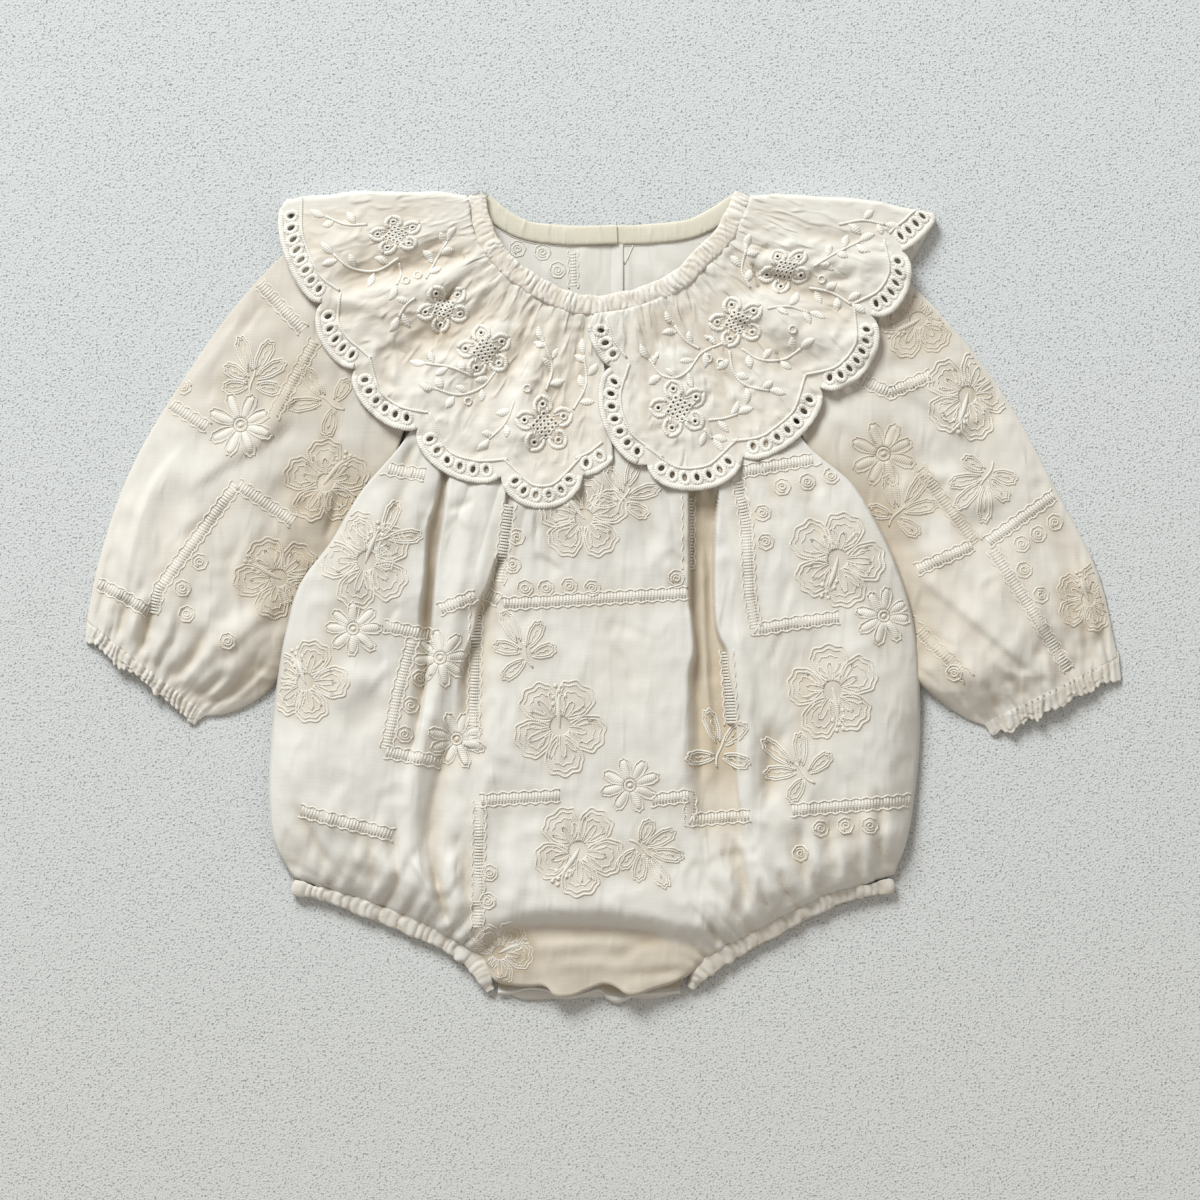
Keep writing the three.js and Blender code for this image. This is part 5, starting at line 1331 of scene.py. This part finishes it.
def daisy(seed):
    # eight plump satin petals that touch, each inside a rippled cord, round a knotted middle
    rng = np.random.default_rng(seed)
    cords = []
    for k in range(8):
        angle = 2 * math.pi * (k + rng.uniform(-0.1, 0.1)) / 8
        long = 13.6 * rng.uniform(0.93, 1.05)
        t = np.linspace(0, 1, 8)
        line = np.stack([3.0 + (long - 4.0) * t, 0.3 * np.sin(math.pi * t)], -1)
        plump = np.sin(math.pi * (0.14 + 0.76 * t)) ** 0.6
        cords.append((turned(line, angle), 2.2 * plump, 0.62 * plump, False))
        rim = petalLine(2.4, long, 3.15, 20, 0.05, rng.uniform(0, 6), 0.5)
        cords.append((turned(rim, angle), 0.42, 0.62, False))
    return cords + [ringCord(0, 0, 2.5, 0.7, 0.85, 12), knot(0, 0, 1.2)]


def leafOutline(start, end, wide):
    # a long leaf: a rippled loop of cord, a second one inside it, and a vein
    a, b = np.asarray(start, float), np.asarray(end, float)
    length, angle = np.linalg.norm(b - a), math.atan2(*(b - a)[::-1])
    cords = []
    for inset, half in ((0.0, 0.54), (1.35, 0.42)):
        loop = petalLine(inset, length - inset, wide - inset * 0.95, 26, 0.05, length, 0.4)
        cords.append((turned(loop, angle) + a, half, 0.6, False))
    t = np.linspace(0.15, 0.7, 6)
    vein = np.stack([length * t, 0.35 * np.array([1, -1] * 3)], -1)
    cords.append((turned(vein, angle) + a, 0.36, 0.42, False))
    return cords


def sprig(seed, count):
    # a short stem with outlined leaves that fan out from it
    rng = np.random.default_rng(seed)
    t = np.linspace(0, 1, 10)
    cords = [(np.stack([-9 + 13 * t, 0.9 * np.sin(5 * t)], -1), 0.6, 0.7, False)]
    for k in range(count):
        fan = mix(-1.75, 1.75, k / (count - 1)) + rng.uniform(-0.1, 0.1)
        root = np.array([3.4 - 7 * abs(fan) / 1.75, 0.8 * np.sign(fan)])
        long = 21.0 * rng.uniform(0.74, 0.9) * (1.06 - 0.26 * abs(fan) / 1.75)
        way = np.array([math.cos(fan), math.sin(fan)])
        cords += leafOutline(root + way, root + way * long, 3.9)
    return cords


def rosette(seed):
    # a spiral of cord inside a scalloped ring
    t = np.linspace(0, 1, 24)
    angle = 2 * math.pi * 1.7 * t + seed
    spiral = np.stack([(0.5 + 2.0 * t) * np.cos(angle), (0.5 + 2.0 * t) * np.sin(angle)], -1)
    t = np.linspace(0, 2 * math.pi, 21, endpoint=False)
    r = 3.75 + 0.22 * np.cos(7 * t + seed)
    return [(spiral, 0.46, 0.55, False), (np.stack([r * np.cos(t), r * np.sin(t)], -1), 0.44, 0.55, True)]


def ladder(points, width=6.0, pitch=1.5):
    # two rippled cords along a line, and between them a raised row of satin bars
    pieces = [np.asarray(points[:1], float)]
    for a, b in zip(points[:-1], points[1:]):
        count = max(2, int(np.hypot(b[0] - a[0], b[1] - a[1])) + 1)
        pieces.append(np.linspace(a, b, count)[1:])
    path = np.vstack(pieces)
    out, run = leftOf(np.gradient(path, axis=0)), runOf(path)
    ripple = 0.45 * np.sin(2 * math.pi * run / 5.0)[:, None]
    cords = [(path + out * (side * width / 2 + ripple * side), 0.5, 0.5, False) for side in (-1, 1)]
    at = np.arange(pitch, run[-1] - 0.3, pitch)
    reach = width / 2 - 0.7
    for middle, bar in zip(readAt(at, run, path), readAt(at, run, out)):
        cords.append((np.array([middle - bar * reach, middle + bar * reach]), 0.6, 0.26, False))
    return cords


def vine(points, leaves, seed):
    # a thin curved stem with satin leaves on its two sides by turns, and one at its tip
    rng = np.random.default_rng(seed)
    long, wide = 8.0, 1.85
    stem = evenCurve(points, 1.3)
    cords = [(stem, 0.58, 0.62, False)]
    for k in range(leaves):
        at = int((k + 0.6) / leaves * (len(stem) - 1))
        way = stem[min(at + 1, len(stem) - 1)] - stem[max(at - 1, 0)]
        angle = math.atan2(way[1], way[0]) + (0.95 if k % 2 else -0.95) * rng.uniform(0.7, 1.2)
        tip = stem[at] + long * rng.uniform(0.8, 1.1) * np.array([math.cos(angle), math.sin(angle)])
        root = stem[at] + (tip - stem[at]) * 0.1
        cords.append(spindle(root, tip, wide * rng.uniform(0.85, 1.1), 0.8, rng.uniform(-0.1, 0.1)))
    way = stem[-1] - stem[-3]
    cords.append(spindle(stem[-1], stem[-1] + way / np.linalg.norm(way) * long, wide, 0.8, 0.06))
    return cords


frontMotifs = dict(
    hibiscus=[(-20.4, -61.8, 1.6, 1.0), (-11.9, -121.1, 4.1, 0.98), (111.1, 17.1, 4.4, 1.0),
              (108.8, -45.1, 4.9, 1.0), (-9, 36.6, 2.2, 0.9), (-112.1, 16.2, 1.2, 1.0),
              (-141.1, -41.3, 1.9, 0.86), (-48.9, -170, 0.4, 0.72)],
    sprigs=[(10.4, 47, 1.2, 5), (-104.5, 26.8, 0.6, 4), (-37, -26.1, 2.0, 5), (19.9, -121.1, -0.6, 6),
            (93.6, -83.1, 2.4, 5), (55.6, -72.9, 1.4, 4)],
    daisies=[(-118.3, -16.1), (12.8, -90.2), (133.2, -10), (-77, -29.9), (-69.3, -68.4)],
    rosettes=[(-40.9, 27.5), (-42.8, 14.2), (-37, 3.3), (-27.1, 3.3), (-16.1, 4.3), (-5.2, 3.3), (34.7, 8.1),
              (85, 51.3), (96.9, 53.7), (108.3, 56.5), (75.7, 38.9), (77.1, 25.2), (-86.9, -39.4),
              (-91.2, -52.2), (-94, -66), (-53.7, -131.6), (-54.6, -144.9), (93.6, -122.5), (103.1, -110.7),
              (114.9, -109.2), (126.4, -109.2)],
    ladders=[
        [(-48, -4.3), (40.4, 0.9)], [(-44.2, 43.7), (-49.4, 4.8)], [(-77.9, -7.1), (-59.8, 0)],
        [(-104, -14.7), (-80.3, -19.5)], [(-90.2, -21.4), (-97, -46), (-102.6, -72.7)],
        [(-103.5, -74.1), (-76.5, -79.3)], [(65.1, 58.4), (103.5, 65.1)],
        [(64, 54.6), (68, 34), (69.5, 0), (72.5, -16.5), (90, -13.4), (112, -10.5)],
        [(-58.4, -97.4), (-20.4, -95)], [(-58.4, -97.4), (-59.4, -159.1)],
        [(22.3, -97.4), (41.3, -95), (41.3, -106.9), (69.8, -104.5)], [(88.8, -102.1), (148.2, -97.4)],
        [(-143.9, -102.1), (-98.8, -114)], [(-111.6, 61.7), (-95, 58.6), (-84.5, 57)],
        [(-60, 0), (-60.6, -36), (-62, -74)], [(-56, 1), (-49, -3)], [(40.6, 47), (40.6, 12)],
        [(58.6, -26), (61, -62)]])


def layMotifs(table, seed, upright, daisyTurns, daisySize):
    # all motifs of a table at their places: its flowers and sprigs, and its bands of rosettes and ladders
    flowers, bands = [], []
    for k, (x, y, angle, size) in enumerate(table.get("hibiscus", [])):
        cords = placed(hibiscus(seed + k), x, y, angle, size, 0.94 if k % 2 else upright)
        flowers += thicker(cords, 0.7, 0.4) if y < -160 else cords
    for k, (x, y, angle, count) in enumerate(table.get("sprigs", [])):
        flowers += placed(sprig(seed + 20 + k, count), x, y, angle)
    for k, (x, y) in enumerate(table.get("daisies", [])):
        flowers += placed(daisy(seed + 40 + k), x, y, daisyTurns[k], daisySize)
    for k, (x, y) in enumerate(table.get("rosettes", [])):
        bands += placed(rosette(k), x, y)
    for points in table["ladders"]:
        bands += ladder(points)
    return flowers, bands


def sewFront():
    flowers, bands = layMotifs(frontMotifs, 100, 1.0, 0.3 * np.arange(len(frontMotifs["daisies"])), 1.0)
    neck = np.array(front["neck"][::-1], float)
    outline = np.vstack([frontEdges["left"], frontHem, frontEdges["right"][::-1], neck])
    flowers, bands = thicker(trimmed(flowers, outline), 1, 0.85), trimmed(bands, outline)
    shadeNearCords(bodyFront, flowers + bands, 0.5)
    sewCords("flowersFront", frontSurface, flowers, "embroidered_cotton", cordThread)
    sewCords("bandsFront", frontSurface, bands, "embroidered_cotton", cordThread)


backMotifs = dict(
    rosettes=[(-40.7, 165.0), (-28.8, 163.4), (-21.6, 154.9)], ladder=[(-14.3, 164), (-14.0, 146)],
    seams=[[(-54, 178.4), (-44.4, 171.4), (-34, 167.8), (-18, 166.4), (3.5, 166.2)],
           [(3.9, 166.2), (22, 167), (42, 169.6), (54.4, 176), (61, 181.6)],
           [(4.6, 166.4), (8.2, 162.4), (10.2, 158.4)], [(14.6, 166.8), (12.2, 161.6), (10.4, 157.6)]])


def sewBack():
    # the reverse of the body's embroidery, faint inside the neck, and the stitching under the neck band
    strands = [s for k, (x, y) in enumerate(backMotifs["rosettes"]) for s in placed(rosette(k), x, y)]
    strands = thicker(strands + ladder(backMotifs["ladder"], 4.6), 0.9, 0.7)
    strands += [(evenCurve(points, 1.2), 0.4, 0.45, False) for points in backMotifs["seams"]]

    def surface(x, y):
        return np.stack([x, y, backLevel(x, y)], -1)

    sewCords("embroideryInsideBack", surface, strands, "embroidered_cotton", cordThread)


sleeveMotifs = dict(
    left=dict(
        sprigs=[(-166.7, 103, 1.5, 6)], daisies=[(-172.2, 80.8)],
        rosettes=[(-191.4, 15.7), (-199.5, 3.3), (-197.6, -9), (-178.1, -21.8), (-199.8, 99.4)],
        ladders=[[(-208, 92.1), (-187.6, 79.3)], [(-173.8, 52.7), (-210.4, 3.3), (-213.8, -9)],
                 [(-173.8, 52.7), (-147.2, 34.7)], [(-244, 7), (-230, 0.5), (-215.2, -8.1)],
                 [(-164.4, 149.2), (-142.4, 125.6)]]),
    leftShaded=dict(
        hibiscus=[(-154.4, 8.1, 2.6, 0.92), (-132, 53.4, 0.9, 0.92)], sprigs=[(-131, 92, 2.7, 4)],
        ladders=[[(-136.5, 121.2), (-157.1, 84.4)]]),
    right=dict(
        hibiscus=[(173.4, 95, 4.4, 0.95)], sprigs=[(182, 55.4, 4.3, 6)],
        rosettes=[(215.2, 34.7), (207.1, 29), (199, 24.2), (200, 11.9), (208, 0), (166.7, -37)],
        ladders=[[(122.4, 102.6), (136.6, 96.1), (156.3, 104.8)], [(148.8, 11.8), (175.9, 23.6)],
                 [(182.4, 24.7), (215.6, 48)], [(184.8, 22), (221.8, -36)]]),
    rightShaded=dict(
        hibiscus=[(150, 131, 3.6, 0.85), (231, -2, 1.9, 0.72)], sprigs=[(141, 40, 1.0, 5)],
        daisies=[(133.5, 67)], rosettes=[],
        ladders=[[(150, 61), (177.6, 24)], [(145.4, -11.9), (173.8, -40.4)]]))


def sewSleeve(side, which, thread):
    # the shaded motifs lie lower in the cloth, are sewn in the painted-shade thread, and lay more painted
    # shade on the cloth round them
    height, shadeAmount = (0.6, 0.45) if which else (0.85, 0.35)
    flowers, bands = layMotifs(sleeveMotifs[side + which], 200, 0.94, (0.4,), 1.15)
    outer, inner = [curveThrough(sleeves[side][key], everyShare) for key in ("outer", "inner")]
    strands = trimmed(flowers + bands, np.vstack([outer, inner[::-1]]), 1.5)
    body = np.vstack([frontEdges[side][:, :2], [(0, -134), (0, 172)]])
    strands = thicker(trimmed(strands, body, 0.4, outside=True), 1, height)
    shadeNearCords(sleeveParts[side], strands, shadeAmount)

    def surface(x, y):
        return np.stack([x, y, sleeveLevel(sleeves[side], x, y)[0]], -1)

    name = "embroidery" + side.capitalize() + "Sleeve" + which
    sewCords(name, surface, strands, "embroidered_cotton", thread)


sewFront()
sewBack()
for side in bothSides:
    sewSleeve(side, "", cordThread)
    sewSleeve(side, "Shaded", shadedThread)
print("body and sleeve embroidery sewn")

collarMotifs = dict(
    left=dict(
        flowers=[(-98.3, 171, 0.2, 1.0, 0.72), (-75.5, 136.3, 0.5, 1.02, 0.85),
                 (-56.1, 115.9, 0.2, 1.04, 0.95), (-27.6, 80.8, 0.1, 1.1, 1.0)],
        vines=[
            ([(-97, 160), (-108, 154), (-121, 156), (-128, 162)], 4),
            ([(-89, 141), (-93, 138), (-97, 132)], 2), ([(-97, 158), (-96, 152), (-98, 147)], 0),
            ([(-51, 106), (-57, 99), (-68, 95), (-80, 98)], 5), ([(-27, 97), (-24, 108), (-28, 120)], 4),
            ([(-14, 88), (-8, 100), (-9, 114)], 4), ([(-84, 150), (-80, 158), (-74, 168)], 4),
            ([(-42, 92), (-46, 82), (-54, 74)], 3), ([(-112, 176), (-122, 176), (-132, 180)], 2),
            ([(-62, 104), (-72, 108), (-84, 110)], 3)],
        dots=[(-93.5, 149.3), (-87.9, 151.9), (-36, 98), (-64, 92)]),
    right=dict(
        flowers=[(36.1, 88.4, 0.28, 1.1, 1.0), (63.7, 129.7, 0.3, 1.06, 0.9), (86.5, 154.4, 0.5, 1.02, 0.8)],
        vines=[
            ([(58, 120), (47, 115), (40, 106), (34, 103), (27, 105), (22, 112)], 7),
            ([(46, 117), (39, 121), (34, 128)], 2), ([(60, 116), (62, 106), (67, 100), (79, 97)], 4),
            ([(66, 117), (74, 112), (86, 112), (94, 117)], 4), ([(50, 83), (58, 84), (64, 86)], 2),
            ([(48, 79), (52, 74)], 2), ([(78, 136), (88, 137), (98, 134)], 3),
            ([(100, 156), (110, 162), (122, 168)], 5), ([(98, 146), (108, 144), (118, 138)], 4),
            ([(70, 146), (66, 154), (68, 164)], 3), ([(112, 176), (124, 178), (134, 176)], 3)],
        dots=[(50, 112.4), (55.9, 110.3), (90, 126), (104, 150)]))


# half of a pierced flower's petal, with its half width at each point
petalSide = np.array([(5.6, 2.6), (7.0, 3.5), (9.2, 3.6), (10.9, 2.7), (11.9, 1.3), (12.7, 0.1)])
petalWidth = np.array([0.75, 1.05, 1.2, 1.2, 1.1, 0.8])


def eyeletFlower():
    # a diamond lattice of small holes, and round it five blunt satin petals, each about a hole of its own
    cords, holes = [], []
    for k in range(5):
        way = 2 * math.pi * k / 5 + math.pi / 2
        cords += [(turned(petalSide * (1, s), way), petalWidth, petalWidth * 0.8, False) for s in (-1, 1)]
        spot = turned(np.array([[8.9, 0]]), way)[0]
        cords.append(ringCord(*spot, 1.3, 0.6, 0.6, 10))
        holes.append((spot, 0.68))
        for turn in (-1, 1):
            cords.append((turned(np.array([(4.6, 2.2 * turn), (7.4, 1.5 * turn)]), way), 0.5, 0.5, False))
    for i in range(4):
        for j in range(4):
            spot = turned(np.array([[(i - 1.5) * 2.25, (j - 1.5) * 2.25]]), math.pi / 4)[0]
            cords.append(ringCord(*spot, 1.06, 0.5, 0.5, 7))
            holes.append((spot, 0.46))
    return cords, holes


def layFlower(side, x, y, angle, size, narrow):
    # a pierced flower at its place on the opened-out sheet: its cords, and its holes
    def lay(points):
        return laidFlat(side, turned(points * (size * np.array([1, narrow])), angle) + (x, y))

    cords, holes = eyeletFlower()
    return [(lay(p), *rest) for p, *rest in cords], [(lay(spot[None])[0], r * size) for spot, r in holes]


def makeCollarSide(side):
    # the collar is pierced by its flowers and eyelets, then sewn: cords on the hidden back part are lower
    table = collarMotifs[side]
    outline, eyelets, arcs, borders = collarPlan(side)
    holes, strands = [], []
    for flower in table["flowers"]:
        cords, spots = layFlower(side, *flower)
        strands += cords
        holes += spots
    for k, (points, leaves) in enumerate(table["vines"]):
        cords = thicker(vine(points, leaves, 300 + k), 1.18, 1)
        strands += [(laidFlat(side, p), *rest) for p, *rest in cords]
    for x, y in table["dots"]:
        strands.append((laidFlat(side, ellipse((x, y), 1.7, 1.7, 0, 10)), 0.6, 0.8, True))
    piece = makeCollar(side, outline, eyelets, holes)
    sewnOn = np.vstack([s[0] for s in strands])
    sewnOn = sewnOn[sewnOn[:, 1] < -9]
    shadeNearCords(piece, [(collarSurface(side, sewnOn[:, 0], sewnOn[:, 1])[:, :2],)], 0.3)
    for p, a in eyelets:
        half, high, steps = (1.0, 0.3, 10) if p[1] > 0 else (1.2, 0.5, 16)
        ring = ellipse(p, collars["eyeletLong"] + 0.8, collars["eyeletWide"] + 0.8, a, steps)
        strands.append((ring, half, high, True))
    for arc in arcs:
        strands.append((arc, 0.75, 0.35 if arc[len(arc) // 2, 1] > 0 else 0.8, False))
    for line in borders:
        half = 1.45 + 0.22 * np.sin(np.arange(len(line)) * 2.1)
        strands.append((line, half, 0.3 if line[len(line) // 2, 1] > 0 else 0.45, False))

    def surface(x, w):
        return collarSurface(side, x, w)

    sewCords("embroidery" + side.capitalize() + "Collar", surface, strands, "eyelet_cotton", collarThread)


for side in bothSides:
    makeCollarSide(side)
print("collars cut, folded and sewn")

# crotch strips, back placket, snaps and button
crotch = dict(
    strip=dict(width=8.4, depth=0.85, wall=0.3, sides=16),
    placket=dict(width=5.4, depth=0.7, wall=0.25, sides=16),
    lip=[(-50, -190.6), (-44, -190.4), (-35.7, -188.4), (-27, -189.2), (-21.2, -192.2), (-13, -192.4),
         (-1.4, -189.4), (2, -192.8), (7.9, -194.6), (14.6, -191.8), (25, -191.4), (37, -190)],
    stripFront=[(-44, -180.2, 4.65), (-5, -180.6, 4.65), (33, -180.2, 4.65)],
    placketPath=[(6.9, 168.6, 2.5), (6.9, 160, 2.75), (6.9, 140, 2.8), (7.2, 92.2, 3.0)], placketTilt=0.17,
    lipTop=-181.8, lipLevel=1.75, lipRows=22, lipColumns=150, lipWall=0.5)


def makeLip():
    # the back's closing strip: its lower edge rolls up in uneven waves, and it dips under the front flap
    rows, columns = crotch["lipRows"], crotch["lipColumns"]
    line = curveThrough(crotch["lip"], np.linspace(0, 1, columns))
    v = np.linspace(0, 1, rows)[:, None]
    x = np.repeat(line[None, :, 0], rows, 0)
    y = mix(line[None, :, 1], crotch["lipTop"], v)
    roll = 1.1 * bell((v - 0.16) / 0.16) * (1 + 0.5 * cloud(x, 0 * x, 7, 91))
    z = crotch["lipLevel"] + roll + 0.15 * cloud(x, y, 5, 92) * (1 - v) - 0.5 * bell(v / 0.07)
    z = np.clip(np.minimum(z, np.where(v > 0.5, 2.35, 9)), 1.55, None)
    points = np.stack([x, y, z], -1).reshape(-1, 3)
    piece = putMesh("crotchStripBack", points, gridQuads(rows, columns)[:, ::-1])
    # painted shade on the part that lies under the front flap
    addFloats(piece, "fold", (ease((v - 0.3) / 0.15) + 0 * x).ravel())
    giveWall(piece, crotch["lipWall"])
    settle(piece, bodyCotton, "embroidered_cotton", "crotch_strip_back")


def makeStripFront():
    path = evenCurve(crotch["stripFront"], 1.0)
    across, facing = flatFrames(path)
    piece = bandPiece("crotchStripFront", path, across, facing, crotch["strip"])
    settle(piece, bodyCotton, "embroidered_cotton", "crotch_strip_front")


def makePlacket():
    # the strip leans to one side, by its tilt
    path, tilt = evenCurve(crotch["placketPath"], 1.5), crotch["placketTilt"]
    across, facing = flatFrames(path)
    across, facing = across + (0, 0, tilt), facing - across * tilt
    piece = bandPiece("backPlacket", path, across, facing, crotch["placket"])
    settle(piece, bodyCotton, "embroidered_cotton", "back_placket")


makeLip()
makeStripFront()
makePlacket()
for name in ("crotch_snap_1", "crotch_snap_2", "crotch_snap_3", "neck_button"):
    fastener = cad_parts[name]
    fastener.data.materials.clear()
    fastener.data.materials.append(snapPlastic)
print("closings made")

stage = dict(
    size=3.0, below=0.15, colour=(0.622, 0.655, 0.664, 1), lowerEdgeShade=(0.60, 0.612, 0.602, 1),
    speck=(0.27, 0.28, 0.28, 1), grain=1000, lensMm=151.58, sensorMm=36, away=2.4, aim=(-1.4, -2.4, 10),
    lamps=dict(windowLight=((-2.0, 4.2, 3.2), 2.4, 392, (0.95, 0.985, 1.0)),
               fillLight=((1.4, -1.6, 2.4), 2.4, 4, (1.0, 0.97, 0.93))),
    roomColour=(1.0, 0.93, 0.85, 1), roomStrength=0.46)


def makeFloor():
    # a plaster top: speckled by its grain, with painted shade: darker and a little warmer nearer the view's
    # lower edge
    half, level = stage["size"] / 2 / mm, -stage["below"]
    points = [(-half, -half, level), (half, -half, level), (half, half, level), (-half, half, level)]
    floor = putMesh("floor", points, np.array([[0, 1, 2, 3]]), smooth=False)
    material, tree, shader = newFinish("plaster", {"Roughness": 0.8, "Specular IOR Level": 0.25})
    where = wire(tree, "TexCoord", "Object")
    grain = wire(tree, "TexNoise", "Fac", i0=where, Scale=stage["grain"], Detail=3.0, Roughness=0.6)
    specks = wire(tree, "MapRange", i0=grain, i1=0.565, i2=0.635, i3=0.0, i4=1.0)
    across = wire(tree, "SeparateXYZ", "Y", i0=where)
    nearer = wire(tree, "MapRange", i0=across, i1=0.2, i2=-0.26, i3=0.0, i4=1.0)
    ground = blend(tree, nearer, stage["colour"], stage["lowerEdgeShade"])
    tree.links.new(blend(tree, specks, ground, stage["speck"]), shader.inputs["Base Color"])
    bump = wire(tree, "Bump", Strength=0.8, Distance=0.0007, Height=grain)
    tree.links.new(bump, shader.inputs["Normal"])
    floor.data.materials.append(material)


def makeLight():
    for name, (place, size, power, colour) in stage["lamps"].items():
        lamp = bpy.data.lights.new(name, "AREA")
        lamp.shape = "DISK"
        lamp.size = size
        lamp.energy = power
        lamp.color = colour
        holder = bpy.data.objects.new(name, lamp)
        holder.location = place
        holder.rotation_euler = (-Vector(place)).to_track_quat("-Z", "Y").to_euler()
        bpy.context.scene.collection.objects.link(holder)
    world = bpy.data.worlds.new("room")
    world.use_nodes = True
    background = world.node_tree.nodes["Background"]
    background.inputs["Color"].default_value = stage["roomColour"]
    background.inputs["Strength"].default_value = stage["roomStrength"]
    bpy.context.scene.world = world
    bpy.context.scene.view_settings.view_transform = "Standard"


def makeCamera():
    lens = bpy.data.cameras.new("camera")
    lens.lens = stage["lensMm"]
    lens.sensor_width = stage["sensorMm"]
    lens.clip_start = 0.05
    lens.clip_end = 20
    holder = bpy.data.objects.new("camera", lens)
    aim = np.array(stage["aim"]) * mm
    holder.location = (aim[0], aim[1], aim[2] + stage["away"])
    bpy.context.scene.collection.objects.link(holder)
    bpy.context.scene.camera = holder


makeFloor()
makeLight()
makeCamera()
print("floor, light and camera placed")
